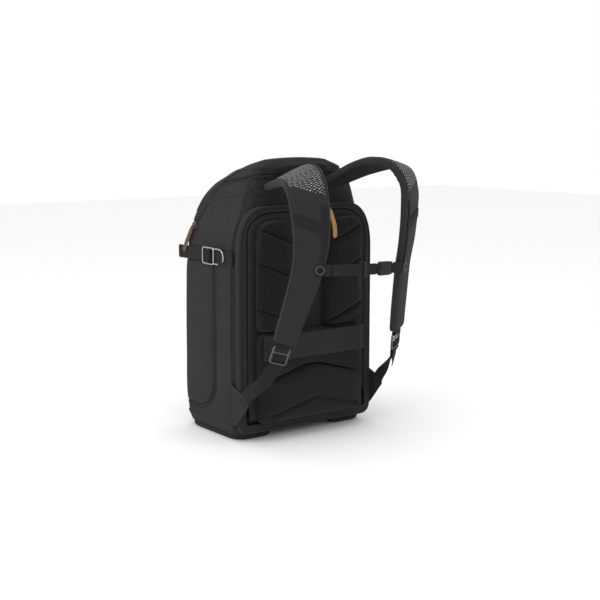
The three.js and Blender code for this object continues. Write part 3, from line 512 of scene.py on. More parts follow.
def row_tree(name, build_item):
    """Geometry nodes that set one small item at every pitch along the input's edges."""
    tree = bpy.data.node_groups.new(name, "GeometryNodeTree")
    face = tree.interface
    face.new_socket("Path", in_out="INPUT", socket_type="NodeSocketGeometry")
    for label in ("Pitch", "Length", "Thickness"):
        face.new_socket(label, in_out="INPUT", socket_type="NodeSocketFloat")
    face.new_socket("Finish", in_out="INPUT", socket_type="NodeSocketMaterial")
    face.new_socket("Row", in_out="OUTPUT", socket_type="NodeSocketGeometry")
    nodes, link = tree.nodes, tree.links.new
    given, result = nodes.new("NodeGroupInput"), nodes.new("NodeGroupOutput")
    curve = nodes.new("GeometryNodeMeshToCurve")
    link(given.outputs["Path"], curve.inputs["Mesh"])
    spaced = nodes.new("GeometryNodeResampleCurve")
    spaced.mode = "LENGTH"
    link(curve.outputs["Curve"], spaced.inputs["Curve"])
    link(given.outputs["Pitch"], spaced.inputs["Length"])
    tangent = nodes.new("GeometryNodeInputTangent")
    turn = nodes.new("FunctionNodeAlignEulerToVector")
    turn.axis = "Z"
    link(tangent.outputs["Tangent"], turn.inputs["Vector"])
    spread = nodes.new("GeometryNodeInstanceOnPoints")
    link(spaced.outputs["Curve"], spread.inputs["Points"])
    link(build_item(nodes, link, given), spread.inputs["Instance"])
    link(turn.outputs["Rotation"], spread.inputs["Rotation"])
    real = nodes.new("GeometryNodeRealizeInstances")
    link(spread.outputs["Instances"], real.inputs["Geometry"])
    coat = nodes.new("GeometryNodeSetMaterial")
    link(real.outputs["Geometry"], coat.inputs["Geometry"])
    link(given.outputs["Finish"], coat.inputs["Material"])
    link(coat.outputs["Geometry"], result.inputs["Row"])
    return tree


def thread_item(nodes, link, given):
    """One stitch: a short round length of thread with tapered ends."""
    ball = nodes.new("GeometryNodeMeshUVSphere")
    ball.inputs["Segments"].default_value = 6
    ball.inputs["Rings"].default_value = 4
    ball.inputs["Radius"].default_value = 0.5
    size = nodes.new("ShaderNodeCombineXYZ")
    link(given.outputs["Thickness"], size.inputs["X"])
    link(given.outputs["Thickness"], size.inputs["Y"])
    link(given.outputs["Length"], size.inputs["Z"])
    shaped = nodes.new("GeometryNodeTransform")
    link(ball.outputs["Mesh"], shaped.inputs["Geometry"])
    link(size.outputs["Vector"], shaped.inputs["Scale"])
    return shaped.outputs["Geometry"]


def tooth_item(nodes, link, given):
    """One turn of the coil seen in the slit: a small bar across it."""
    bar = nodes.new("GeometryNodeMeshCube")
    size = nodes.new("ShaderNodeCombineXYZ")
    link(given.outputs["Length"], size.inputs["X"])
    link(given.outputs["Length"], size.inputs["Y"])
    link(given.outputs["Thickness"], size.inputs["Z"])
    link(size.outputs["Vector"], bar.inputs["Size"])
    return bar.outputs["Mesh"]


stitch_tree, tooth_tree = row_tree("stitch_row", thread_item), row_tree("coil_row", tooth_item)


def set_along(name, tree, paths, pitch, length, thickness, finish):
    """A plain mesh of small items along several paths, made with the given tree."""
    mesh = bpy.data.meshes.new(name + "_paths")
    spots, edges = [], []
    for path in paths:
        edges += [(len(spots) + i, len(spots) + i + 1) for i in range(len(path) - 1)]
        spots += [place(*p) for p in path]
    mesh.from_pydata(spots, edges, [])
    guide = bpy.data.objects.new(name + "_paths", mesh)
    bpy.context.scene.collection.objects.link(guide)
    maker = guide.modifiers.new("row", "NODES")
    maker.node_group = tree
    sockets = {item.name: item.identifier for item in tree.interface.items_tree if item.in_out == "INPUT"}
    for label, value in (("Pitch", pitch / 1000), ("Length", length / 1000), ("Thickness", thickness / 1000),
                         ("Finish", finish)):
        maker[sockets[label]] = value
    shown = guide.evaluated_get(bpy.context.evaluated_depsgraph_get())
    made = bpy.data.meshes.new_from_object(shown)
    bpy.data.objects.remove(guide)
    piece = bpy.data.objects.new(name, made)
    bpy.context.scene.collection.objects.link(piece)
    if not made.materials:
        made.materials.append(finish)
    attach(piece, "root")
    return piece


set_along("pocket_zip_coil", tooth_tree, [zip_path[0] - 0.1 * zip_path[1]], 1.3, 0.5, 0.7, coil_nylon)
seam_thread = cloth_finish("seam_thread", (0.075, 0.068, 0.076), (0.045, 0.041, 0.046), thread=0.3, roughness=0.7,
                           sheen=0.1, relief=0.1)
stitch_lines = []


def stitch_beside(path, lift=1.0):
    stitch_lines.append(path[0] + path[1] * lift)


def lifted(path, lift_at):
    return path[0] + path[1] * lift_at(path[0])[:, None]


stitch_lines.append(lifted(joined_path(pocket_path(edge_inset + 2.6, top=pocket_top - 3)), pocket_lift) )
stitch_lines.append(lifted(joined_path(pocket_path(-edge_inset - 2.2, top=pocket_top)), bag_lift))


# Lid: the roof panel of the bag, cut from the same cloth over thin foam and rounded over the shoulders.
# Its lower edge follows the zip; two felled seams run over it where the top meets the sloping sides.
column_y, search = [], np.linspace(372, roof_height - 2, 160)
for z in search:
    column_y.append(skin(bag_ring(z), np.full(len(bag_ring(z)), z), -1)[0][:, 1])
column_y = np.array(column_y)


def lid_edge(drop):
    """Heights at which each column of the bag's outline crosses the lid's line, lowered by drop."""
    heights = []
    for c in range(column_y.shape[1]):
        over = search - np.interp(column_y[:, c], lid_line[:, 0], lid_line[:, 1] - drop)
        first = int(np.argmax(over >= 0))
        if first == 0:
            heights.append(search[0])
            continue
        low, high = over[first - 1], over[first]
        heights.append(search[first - 1] + (search[first] - search[first - 1]) * -low / (high - low))
    return np.array(heights)


def ring_at(heights, side):
    """Points of each column at its own height."""
    s = np.array([bag_ring(z)[c] for c, z in enumerate(heights)])
    return skin(s, heights, side)


def whole_ring(heights):
    left, left_out = ring_at(heights, -1)
    right, right_out = ring_at(heights, 1)
    return np.concatenate([left, right[1:-1][::-1]]), np.concatenate([left_out, right_out[1:-1][::-1]])


def lid_lift(points):
    depth = np.maximum(above_lid(points[..., 1], points[..., 2]) - 0.3, 0)
    swell = 1.8 * (1 - np.exp(-depth / 8)) - 1.3 * np.exp(-depth / 1.1)
    folds = 1.5 * wander(points, 70, 8) + 0.9 * wander(points * (0.5, 1, 1), 26, 9)
    return 0.3 + swell + folds * ramp(depth, 2, 30)


lid_low, crest_drop = lid_edge(-0.4), 3.2
outer_rings, inner_rings = [], []
for t in [0, 0.008, 0.02, 0.04, 0.07, 0.11, 0.16, 0.22, 0.29, 0.36, 0.43, 0.5, 0.57, 0.64, 0.7, 0.76, 0.82,
          0.87, 0.92, 0.96, 1]:
    points, out = whole_ring(lid_low + (roof_height - 0.01 - lid_low) * t)
    ring = points + out * lid_lift(points)[:, None]
    ring[:, 2] -= crest_drop * ramp(points[:, 2], 500, roof_height)
    outer_rings.append(ring)
    if t in (0, 0.07, 0.22, 0.43, 0.64, 0.82, 0.92, 1):
        inner_rings.append(points - out * 3.3)
crest = outer_rings[-1]
for share in (0.86, 0.66, 0.44, 0.2):
    flat = crest.mean(axis=0) + (crest - crest.mean(axis=0)) * share
    flat[:, 2] += 0.8 * wander(flat, 30, 11) + (crest_drop + 0.8) * (1 - share ** 2)
    outer_rings.append(flat)
columns = len(crest)
all_rings = inner_rings[::-1] + outer_rings
faces = grid_faces(len(all_rings), columns, closed=True)
faces += [tuple(range(columns))[::-1], tuple(range((len(all_rings) - 1) * columns, len(all_rings) * columns))]
make_piece("lid_panel_cloth", np.concatenate(all_rings), faces, canvas, "canvas", ["lid_panel"])
lid_middle = lid_edge(lid_zip / 2)
lid_path = whole_ring(lid_middle)
make_piece("lid_zip_tapes", *sweep(*lid_path, zip_profile(lid_zip, 3.0), closed_path=True), tape, "zip",
           ["lid_zip"])
set_along("lid_zip_coil", tooth_tree, [np.concatenate([lid_path[0], lid_path[0][:1]]) - 0.1 * lid_path[1][0]],
          1.3, 0.5, 0.7, coil_nylon)
edge_points, edge_out = whole_ring(lid_edge(-3.2))
stitch_lines.append(edge_points + edge_out * lid_lift(edge_points)[:, None])
edge_points, edge_out = whole_ring(lid_edge(lid_zip + 2.6))
stitch_lines.append(edge_points + edge_out * bag_lift(edge_points)[:, None])


# Felled seams: where two panels meet, the edges are folded under each other and topstitched flat,
# which leaves a low ridge a few millimetres wide, with a row of thread beside its fold.
def seam_profile(width=6.5, height=1.1):
    half = width / 2
    return [(-half, -1.2), (-half, -0.3), (-half * 0.9, height * 0.65), (-half * 0.72, height), (0, height * 0.8),
            (half * 0.7, height * 0.45), (half, 0.0), (half, -1.2)]


seam_parts = []


def seam(path, lift_at, width=6.5, height=1.1, threads=1):
    points, out = path
    raised = points + out * lift_at(points)[:, None]
    seam_parts.append(sweep(raised, out, seam_profile(width, height)))
    ahead = np.gradient(raised, axis=0)
    across = np.cross(out, ahead)
    across /= np.linalg.norm(across, axis=1, keepdims=True)
    for place_across, level in ((-width * 0.24, height * 0.95), (width * 0.3, height * 0.6))[:threads]:
        stitch_lines.append(raised + across * place_across + out * level)


def side_path(corners, side, step=4.0):
    """A path over a side through (s, z) corners."""
    corners = np.array(corners, float)
    reach = np.concatenate([[0], np.cumsum(np.hypot(*np.diff(corners, axis=0).T))])
    at = np.linspace(0, reach[-1], max(int(reach[-1] / step), 4))
    s, z = np.interp(at, reach, corners[:, 0]), np.interp(at, reach, corners[:, 1])
    if len(corners) > 2:
        kernel = np.ones(5) / 5
        s[2:-2], z[2:-2] = np.convolve(s, kernel, "valid"), np.convolve(z, kernel, "valid")
    return skin(s, z, side)


for side in (-1, 1):
    seam(side_path([(-79, 461), (-50, 455), (21, 442), (47, 430)], side), bag_lift)
    seam(side_path([(69, 392), (40, 379), (7, 356), (-10, 330)], side), bag_lift, 5)
    seam(side_path([(-66, 484), (-66, 300), (-66, 60), (-64, 26)], side), bag_lift, 7, 1.3, 2)
base_left = np.array([(s, 27.0) for s in np.linspace(-72, float(cloth_run(27)[0]), 60)])
base_path = joined_path(skin(base_left[:, 0], base_left[:, 1], -1))
seam(base_path, bag_lift, 7, 1.3, 2)
yoke = np.linspace(-float(cloth_run(456)[1]), -88, 30)
yoke_left = skin(yoke, np.full(len(yoke), 456.0), -1)
yoke_path = (np.concatenate([yoke_left[0][::-1], (yoke_left[0] * (-1, 1, 1))[1:]]),
             np.concatenate([yoke_left[1][::-1], (yoke_left[1] * (-1, 1, 1))[1:]]))
seam(yoke_path, bag_lift, 9, 1.6, 2)
top_edge = across_bag(-12, pocket_top + 2.5, 60)
seam(top_edge, lambda p: bag_lift(p) + 0.2, 8, 2.2, 2)
for side in (-1, 1):
    run = np.array([(y, z) for y, z in ((-78, 500), (-40, 497), (0, 491), (30, 480), (52, 462), (66, 440),
                                        (76, 415))])
    seam(side_path(run, side), lid_lift, 6, 1.1)
make_piece("felled_seams", *merged(seam_parts), canvas, "canvas", smooth=0)


# Back frame: a soft raised border round the back door, foam in the bag's cloth with a sewn fold
# along its middle. It carries the outer half of the door's zip on its inner edge.
frame_depth, frame_outline_sizes = 13, (154, 14, 432, 58, 95, 24)
arch_half, arch_top, arch_bottom, arch_corner, arch_rise = 141, 425, 30, 60, 46
back_zip, back_zip_end = 9.5, 62


def arch_outline(half, bottom, top, corner, rise, foot, square, counts=(24, 10, 40, 16)):
    """Points (x, z) of an arch, from the base's middle round by the right; even numbers on each side."""
    base, foot_n, side_n, corner_n = counts
    spots = [(x, bottom) for x in np.linspace(0, half - foot, base // 2)[:-1]]
    for t in np.linspace(0, 1, foot_n)[:-1]:
        spots.append(((1 - t) ** 2 * (half - foot) + 2 * t * (1 - t) * half + t * t * half,
                      (1 - t) ** 2 * bottom + 2 * t * (1 - t) * bottom + t * t * (bottom + foot)))
    spots += [(half, z) for z in np.linspace(bottom + foot, top - rise, side_n)[:-1]]
    for t in np.linspace(0, 1, corner_n)[:-1]:
        if square:
            spots.append(((1 - t) ** 2 * half + 2 * t * (1 - t) * half + t * t * (half - corner),
                          (1 - t) ** 2 * (top - rise) + 2 * t * (1 - t) * top + t * t * top))
        else:
            spots.append((half - corner + corner * math.cos(t * math.pi / 2),
                          top - rise + rise * math.sin(t * math.pi / 2)))
    spots += [(x, top) for x in np.linspace(half - corner, 0, base // 2)]
    left = [(-x, z) for x, z in spots[1:-1][::-1]]
    return np.array(spots + left)


def arch_at(inset):
    return arch_outline(arch_half - inset, arch_bottom + inset, arch_top - inset, max(arch_corner - inset, 6),
                        max(arch_rise - inset, 6), max(10 - inset * 0.5, 2), False)


frame_outer = arch_outline(*frame_outline_sizes, True)
frame_inner = arch_at(1.3)


def back_spot(outline, depth):
    """Points on the back, depth millimetres out from the bag's rear wall."""
    return np.stack([outline[:, 0], -back_reach - np.broadcast_to(depth, len(outline)), outline[:, 1]], -1)


frame_rows = [(0, 0.1), (-0.012, 3), (0, 8), (0.03, 11), (0.1, 13.2), (0.2, 14), (0.32, 13.9), (0.42, 12.6),
              (0.46, 11.9), (0.5, 12.6), (0.6, 13.8), (0.75, 14.2), (0.88, 14), (0.96, 13.6), (0.99, 13.1), (1, 12.2),
              (1, 9.5), (0.9, 9), (0.9, 0.1)]
rings = []
for t, depth in frame_rows:
    points = back_spot(frame_outer * (1 - t) + frame_inner * t, depth)
    points[:, 1] -= 0.5 * wander(points, 45, 14) * (depth > 10)
    rings.append(points)
columns = len(frame_outer)
spots = np.concatenate(rings)
faces = grid_faces(len(rings), columns, closed=True)
last = (len(rings) - 1) * columns
faces += [(last + c, last + (c + 1) % columns, (c + 1) % columns, c) for c in range(columns)]
make_piece("back_border", spots, faces, canvas, "canvas", ["back_frame"])


def on_back(outline, depth):
    points = back_spot(outline, depth)
    return points, np.tile([0.0, -1.0, 0.0], (len(points), 1))


def arch_opened(outline, low):
    """The part of an arch outline above a height, from one foot over the top to the other."""
    start = int(np.argmin(np.abs(outline[:, 1]) + 1000 * (outline[:, 1] > arch_bottom + 5)))
    turned = np.roll(outline, -start, axis=0)
    return turned[turned[:, 1] > low]


stitch_lines.append(arch_opened(frame_outer * 0.62 + frame_inner * 0.38, 30) @ np.array([[1, 0, 0], [0, 0, 1]])
                    + (0, -back_reach - 13.4, 0))
stitch_lines.append(arch_opened(frame_outer * 0.14 + frame_inner * 0.86, 30) @ np.array([[1, 0, 0], [0, 0, 1]])
                    + (0, -back_reach - 13.6, 0))


# Back zip: the same coil zip in a heavier gauge, round the door from one foot of the arch to the other.
back_zip_path = on_back(arch_opened(arch_at(back_zip / 2), back_zip_end), frame_depth - 0.9)
heavy_profile = [(4.5, -3.5), (4.5, -1.2), (3.0, -0.9), (2.4, 0.9), (1.9, 1.3), (0.5, 1.35), (0.35, 0.5), (-0.35, 0.5),
                 (-0.5, 1.35), (-1.9, 1.3), (-2.4, 0.9), (-3.0, -0.9), (-4.5, -1.2), (-4.5, -3.5)]
make_piece("back_zip_tapes", *sweep(*back_zip_path, heavy_profile), coil_nylon, "zip", ["back_zip"])
cord = [(0.75 * math.cos(a), 0.75 * math.sin(a)) for a in np.linspace(0, math.tau, 7)[:-1]]
edges = [sweep(*on_back(arch_opened(arch_at(inset), back_zip_end - 4), 12.9), cord) for inset in (2.1, 8.0)]
make_piece("back_zip_cords", *merged(edges), seam_thread, "zip")
set_along("back_zip_coil", tooth_tree, [back_zip_path[0] + (0, -0.6, 0)], 1.5, 0.6, 0.8, coil_nylon)


# Back door: a stiffened padded panel of the bag's cloth that the pads are sewn to.
# Its edge is bound beside the zip, and its middle shows between the pads as a vertical air channel.
door_steps = [(0.5, 0.1), (0.5, 9), (-0.8, 9.5), (-0.8, 12), (-0.3, 13), (0.8, 13.5), (4, 13.8), (8, 13.6), (14, 13.2), (22, 12.8),
              (34, 12.6), (50, 12.6), (56, 12.6)]
rings = []
for inset, depth in door_steps:
    points = back_spot(arch_at(back_zip + 0.3 + inset), depth)
    points[:, 1] -= 0.35 * wander(points, 40, 15) * (depth > 12)
    rings.append(points)
middle = rings[-1].mean(axis=0)
for share in (0.8, 0.55, 0.3, 0.1):
    rings.append(middle + (rings[-1] - middle) * share)
columns = len(rings[0])
faces = grid_faces(len(rings), columns, closed=True)
faces += [tuple(range(columns))[::-1], tuple(range((len(rings) - 1) * columns, len(rings) * columns))]
make_piece("back_door_cloth", np.concatenate(rings), faces, canvas, "canvas", ["back_door"])
stitch_lines.append(back_spot(arch_at(back_zip + 3.4), 13.6))


# Pads of the back: moulded foam under a dull dark knit, sewn down at their edges and swollen between.
# Two tall upper pads stand either side of the air channel, each pressed with three sloping grooves;
# the middle pad lies under the luggage sleeve and the lumbar pad fits below it with a peaked top.
pad_start, pad_depth, pad_half = 93.35, 24.65, 119
channel_half, channel_flare, pad_top, pad_split, pad_seam = 31, 34, 408, 204, 3
lumbar_top, lumbar_side, lumbar_bottom = 137, 104, 33
knit = cloth_finish("dark_knit", (0.0125, 0.0125, 0.0128), (0.0062, 0.0062, 0.0064), thread=1.1, roughness=0.92,
                    sheen=0.25, relief=0.45, mottle=30)
# The lower pads and the grab handle take the bag's canvas at about half its tone: painted shade, because these parts
# face away from the light.
canvas_in_painted_shade = cloth_finish("canvas_in_painted_shade", (0.017, 0.0155, 0.0174), (0.0102, 0.0092, 0.0104), thread=0.9,
                            roughness=0.88, sheen=0.18, relief=0.3)


def bent_outline(corners, rounding, step=4.0):
    """A closed outline (x, z) with its corners rounded by a radius of its own each."""
    corners = [Vector(c) for c in corners]
    spots = []
    for i, corner in enumerate(corners):
        before, after_ = corners[i - 1], corners[(i + 1) % len(corners)]
        reach = min(rounding[i], (before - corner).length * 0.48, (after_ - corner).length * 0.48)
        start = corner + (before - corner).normalized() * reach
        end = corner + (after_ - corner).normalized() * reach
        for t in np.linspace(0, 1, max(int(reach / 2.5), 3)):
            spots.append(start * (1 - t) ** 2 + corner * 2 * t * (1 - t) + end * t * t)
    dense = []
    for a, b in zip(spots, spots[1:] + spots[:1]):
        count = max(int((b - a).length / step), 1)
        dense += [a.lerp(b, k / count) for k in range(count)]
    return np.array([tuple(p) for p in dense])


def foam_block(name, outline, depth, shrink=1.2):
    """A plain closed block over an outline, a little smaller than the pad it will swell into."""
    centre = outline.mean(axis=0)
    spread = np.linalg.norm(outline - centre, axis=1, keepdims=True)
    small = centre + (outline - centre) * (1 - shrink / spread)
    work = bmesh.new()
    low = [work.verts.new(place(x, -pad_start, z)) for x, z in small]
    high = [work.verts.new(place(x, -pad_start - depth, z)) for x, z in small]
    work.faces.new(low)
    work.faces.new(high[::-1])
    for k in range(len(low)):
        work.faces.new((low[k], low[k - 1], high[k - 1], high[k]))
    bmesh.ops.recalc_face_normals(work, faces=work.faces)
    mesh = bpy.data.meshes.new(name)
    work.to_mesh(mesh)
    work.free()
    piece = bpy.data.objects.new(name, mesh)
    bpy.context.scene.collection.objects.link(piece)
    return piece


def settled(piece, kinds):
    """Turns what the piece's modifiers show into its own plain mesh."""
    shown = piece.evaluated_get(bpy.context.evaluated_depsgraph_get())
    made = bpy.data.meshes.new_from_object(shown)
    for kind in [m for m in piece.modifiers if m.type in kinds]:
        piece.modifiers.remove(kind)
    old = piece.data
    piece.data = made
    bpy.data.meshes.remove(old)


def swell(pieces, sewn_to, pressure=4.0, cap=5.0, voxel=4.2):
    """Cloth simulation of stuffed covers: each is pinned along its back, blown up and capped."""
    for piece in pieces:
        remesh = piece.modifiers.new("even", "REMESH")
        remesh.mode, remesh.voxel_size = "VOXEL", voxel / 1000
        settled(piece, {"REMESH"})
    starts = {}
    for piece in pieces:
        spots = np.empty(len(piece.data.vertices) * 3)
        piece.data.vertices.foreach_get("co", spots)
        starts[piece.name] = spots.reshape(-1, 3)
        held = piece.vertex_groups.new(name="sewn")
        back = [v.index for v in piece.data.vertices if sewn_to(v.co)]
        held.add(back, 1.0, "REPLACE")
        cloth = piece.modifiers.new("cover", "CLOTH")
        cloth.settings.vertex_group_mass = "sewn"
        cloth.settings.use_pressure = True
        cloth.settings.uniform_pressure_force = pressure
        cloth.settings.effector_weights.gravity = 0
        cloth.settings.quality = 5
        cloth.settings.tension_stiffness = cloth.settings.compression_stiffness = 15
        cloth.settings.bending_stiffness = 0.5
        cloth.point_cache.frame_start, cloth.point_cache.frame_end = 1, 20
    scene = bpy.context.scene
    for step in range(1, 21):
        scene.frame_set(step)
    for piece in pieces:
        settled(piece, {"CLOTH"})
        spots = np.empty(len(piece.data.vertices) * 3)
        piece.data.vertices.foreach_get("co", spots)
        start = starts[piece.name]
        moved = spots.reshape(-1, 3) - start
        length = np.linalg.norm(moved, axis=1, keepdims=True)
        moved *= np.minimum(1, cap / 1000 / np.maximum(length, 1e-9))
        piece.data.vertices.foreach_set("co", (start + moved).ravel())
        piece.vertex_groups.clear()
    scene.frame_set(1)


def finish_pad(piece, finish, nodes, carve, levels=1):
    """One even subdivision, then the grooves, then the piece's finish; it then rides on the pack and hides the CAD
    nodes it stands for.
    """
    rounding = piece.modifiers.new("rounding", "SUBSURF")
    rounding.levels = rounding.render_levels = levels
    settled(piece, {"SUBSURF"})
    spots = np.empty(len(piece.data.vertices) * 3)
    piece.data.vertices.foreach_get("co", spots)
    spots = spots.reshape(-1, 3) * 1000 - (0, mid_y, 0)
    spots = carve(spots)
    piece.data.vertices.foreach_set("co", ((spots + (0, mid_y, 0)) / 1000).ravel())
    piece.data.polygons.foreach_set("use_smooth", [True] * len(piece.data.polygons))
    piece.data.materials.clear()
    piece.data.materials.append(finish)
    piece.data.update()
    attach(piece, "root")
    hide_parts(*nodes)


def near_line(x, z, a, b):
    """Distance of (x, z) from the line between a and b, and the place along it."""
    run = np.array(b, float) - np.array(a, float)
    t = ((x - a[0]) * run[0] + (z - a[1]) * run[1]) / run.dot(run)
    held = np.clip(t, 0, 1)
    return np.hypot(x - a[0] - held * run[0], z - a[1] - held * run[1]), t


groove_slope, groove_shares = 0.42, (0.93, 0.62, 0.21)
upper_corners = [(channel_half, pad_split), (pad_half, pad_split), (pad_half, pad_top),
                 (channel_half + channel_flare / 2, pad_top), (channel_half, pad_split + 60)]
upper_rounding = [7, 9, 40, 22, 60]
pad_grooves = []
for share in groove_shares:
    z = pad_split + share * (pad_top - pad_split)
    pad_grooves.append(((pad_half + 6, z + 2.5), (channel_half - 4, z - groove_slope * (pad_half - channel_half) - 2)))


def carve_upper(spots):
    x, y, z = np.abs(spots[:, 0]), -spots[:, 1], spots[:, 2]
    face = ramp(y, pad_start + 6, pad_start + pad_depth - 6)
    sink = np.zeros(len(spots))
    lift = np.zeros(len(spots))
    for a, b in pad_grooves:
        off, t = near_line(x, z, a, b)
        sink = np.maximum(sink, 7.5 * np.exp(-((off / 3.0) ** 2)))
        lift += 1.4 * np.exp(-(((off - 11) / 7) ** 2))
    edge_row = 1.2 * np.exp(-(((pad_half - x - 9) / 2.0) ** 2)) * (z > pad_split + 12) * (z < pad_top - 14)
    uneven = 0.5 * wander(spots, 35, 21)
    spots[:, 1] -= face * (lift - sink - edge_row + uneven)
    return spots


def carve_lower(spots):
    x, y, z = np.abs(spots[:, 0]), -spots[:, 1], spots[:, 2]
    face = ramp(y, pad_start + 8, pad_start + pad_depth - 5)
    off, t = near_line(x, z, (0, lumbar_top * 0.52), (pad_half * 0.9, lumbar_top * 0.52 - 26))
    sink = 6.5 * np.exp(-((off / 3.4) ** 2)) * ramp(0.98 - t, 0, 0.08)
    uneven = 0.8 * wander(spots, 50, 22)
    spots[:, 1] -= face * (uneven - sink)
    return spots


def carve_middle(spots):
    face = ramp(-spots[:, 1], pad_start + 8, pad_start + pad_depth - 5)
    spots[:, 1] -= face * (0.5 * wander(spots, 45, 23) - 1.5)
    return spots


def peaked(side_z, peak_z, far_z):
    return [(-pad_half, far_z), (-pad_half, side_z), (0, peak_z), (pad_half, side_z), (pad_half, far_z)]


upper_outline = bent_outline(upper_corners, upper_rounding)
pads = [foam_block("upper_foam_right", upper_outline, pad_depth - 3),
        foam_block("upper_foam_left", (upper_outline * (-1, 1))[::-1], pad_depth - 3),
        foam_block("middle_foam", bent_outline(peaked(lumbar_side + pad_seam, lumbar_top + pad_seam,
                                                      pad_split - pad_seam), [8, 8, 30, 8, 8]), pad_depth - 4),
        foam_block("lumbar_foam", bent_outline(peaked(lumbar_side, lumbar_top, lumbar_bottom),
                                               [9, 9, 30, 9, 9]), pad_depth - 3)]
seat = place(0, -pad_start - 4, 0).y
swell(pads, lambda spot: spot.y > seat)
finish_pad(pads[0], knit, ["upper_pad_right"], carve_upper)
finish_pad(pads[1], knit, ["upper_pad_left"], carve_upper)
# The middle and lumbar pads are covered in the canvas darkened with painted shade.
finish_pad(pads[2], canvas_in_painted_shade, ["mid_pad"], carve_middle)
finish_pad(pads[3], canvas_in_painted_shade, ["lumbar_pad"], carve_lower)


# Luggage sleeve: a band of the bag's cloth, hemmed top and bottom and sewn down at both ends,
# that stands just clear of the pads so a suitcase's pulling handle can pass behind it.
sleeve_half, sleeve_top, sleeve_bottom, sleeve_lift, sleeve_hem = 118, 200, 153, 5.2, 7
pad_face = pad_start + pad_depth


def sleeve_row(z, offset):
    across = np.concatenate([np.linspace(-sleeve_half, -sleeve_half + 22, 14)[:-1],
                             np.linspace(-sleeve_half + 22, sleeve_half - 22, 44)[:-1],
                             np.linspace(sleeve_half - 22, sleeve_half, 14)])
    rise = ramp(sleeve_half - np.abs(across), sleeve_hem, sleeve_hem + sleeve_lift + 3)
    depth = pad_face + 0.5 + rise * sleeve_lift + offset
    spots = np.stack([across, -depth, np.full(len(across), z)], -1)
    spots[:, 1] -= 0.5 * wander(spots * (1, 0, 1), 40, 31) * rise
    spots[:, 2] += 0.5 * wander(spots * (1, 0, 0), 60, 32) * (1 if z > 176 else -1)
    return spots


hem_shape = [(0, 0), (-0.6, 1.3), (0.2, 2.5), (6, 2.6), (7.2, 1.7), (20, 1.5)]
rings = [sleeve_row(sleeve_top - 0.6 - u, v) for u, v in hem_shape]
rings += [sleeve_row(sleeve_bottom + 0.6 + u, v) for u, v in hem_shape[::-1]]
rings += [sleeve_row(sleeve_bottom + 6, 0), sleeve_row(sleeve_top - 6, 0)]
columns = len(rings[0])
faces = grid_faces(len(rings), columns)
last = (len(rings) - 1) * columns
faces += [(last + c, last + c + 1, c + 1, c) for c in range(columns - 1)]
faces += [tuple(r * columns for r in range(len(rings)))[::-1],
          tuple(r * columns + columns - 1 for r in range(len(rings)))]
sleeve = make_piece("sleeve_band", np.concatenate(rings), faces, canvas, "canvas", ["luggage_sleeve"])
for z in (sleeve_top - 6.2, sleeve_bottom + 6.2):
    row = sleeve_row(z, 2.7)
    stitch_lines.append(row[2:-2])
for x in (-sleeve_half + 2.2, -sleeve_half + 6, sleeve_half - 2.2, sleeve_half - 6):
    upright = np.linspace(sleeve_bottom + 2, sleeve_top - 2, 12)
    stitch_lines.append(np.stack([np.full(12, x), np.full(12, -pad_face - 2.3), upright], -1))


# Shoulder straps: curved pads of foam between a smooth woven face and a knit lining, joined by a
# bound edge. Each leaves the back below the handle, arches over the shoulder and narrows downwards.
# The face carries a perforated panel at the top, a flat cross band and a webbing rail for the ring.
strap_width, strap_thickness, strap_twist, strap_steps = 72, 14, 30, 40
strap_root, strap_end_x, strap_reach, strap_drop = (73, 466), 130, 168, 265
strap_rises = {1: (42, 0.35), -1: (26, 0.85)}
strap_route = np.array([
    # side, out, rise, fall, width, twist, crest
    (-0.21, -0.06, -0.08, 0, 0.66, 0, 0), (-0.03, 0.16, 0.36, 0, 0.72, 0, 0.4),
    (0.18, 0.39, 0.76, 0, 0.84, 0, 0.8), (0.41, 0.65, 1, 0, 0.95, 0, 1), (0.64, 0.86, 0.78, 0, 1, 0.5, 0.5), (0.73, 0.965, 0.1, 0, 0.98, 1, 0),
    (0.68, 1, 0, 0.135, 0.93, 1, 0), (0.62, 0.985, 0, 0.343, 0.84, 1, 0), (0.64, 0.915, 0, 0.528, 0.74, 1, 0),
    (0.81, 0.8, 0, 0.77, 0.64, 0.9, 0), (1, 0.69, 0, 1, 0.56, 0.8, 0)])


def spline(corners, share):
    """A smooth curve through points, evenly shared between them, and its direction."""
    corners = np.asarray(corners, float)
    at = min(max(share, 0), 1) * (len(corners) - 1)
    low = min(int(at), len(corners) - 2)
    t = at - low
    p1, p2 = corners[low], corners[low + 1]
    p0 = corners[low - 1] if low else 2 * p1 - p2
    p3 = corners[low + 2] if low + 2 < len(corners) else 2 * p2 - p1
    d0, d1, d2 = (max(np.linalg.norm(b - a) ** 0.5, 1e-3) for a, b in ((p0, p1), (p1, p2), (p2, p3)))
    t1 = ((p1 - p0) / d0 - (p2 - p0) / (d0 + d1) + (p2 - p1) / d1) * d1
    t2 = ((p2 - p1) / d1 - (p3 - p1) / (d1 + d2) + (p3 - p2) / d2) * d1
    c2, c3 = -3 * p1 + 3 * p2 - 2 * t1 - t2, 2 * p1 - 2 * p2 + t1 + t2
    spot, heading = p1 + t1 * t + c2 * t * t + c3 * t ** 3, t1 + 2 * c2 * t + 3 * c3 * t * t
    return spot, heading / np.linalg.norm(heading)


def turned(vector, axis, angle):
    return (vector * math.cos(angle) + np.cross(axis, vector) * math.sin(angle)
            + axis * axis.dot(vector) * (1 - math.cos(angle)))


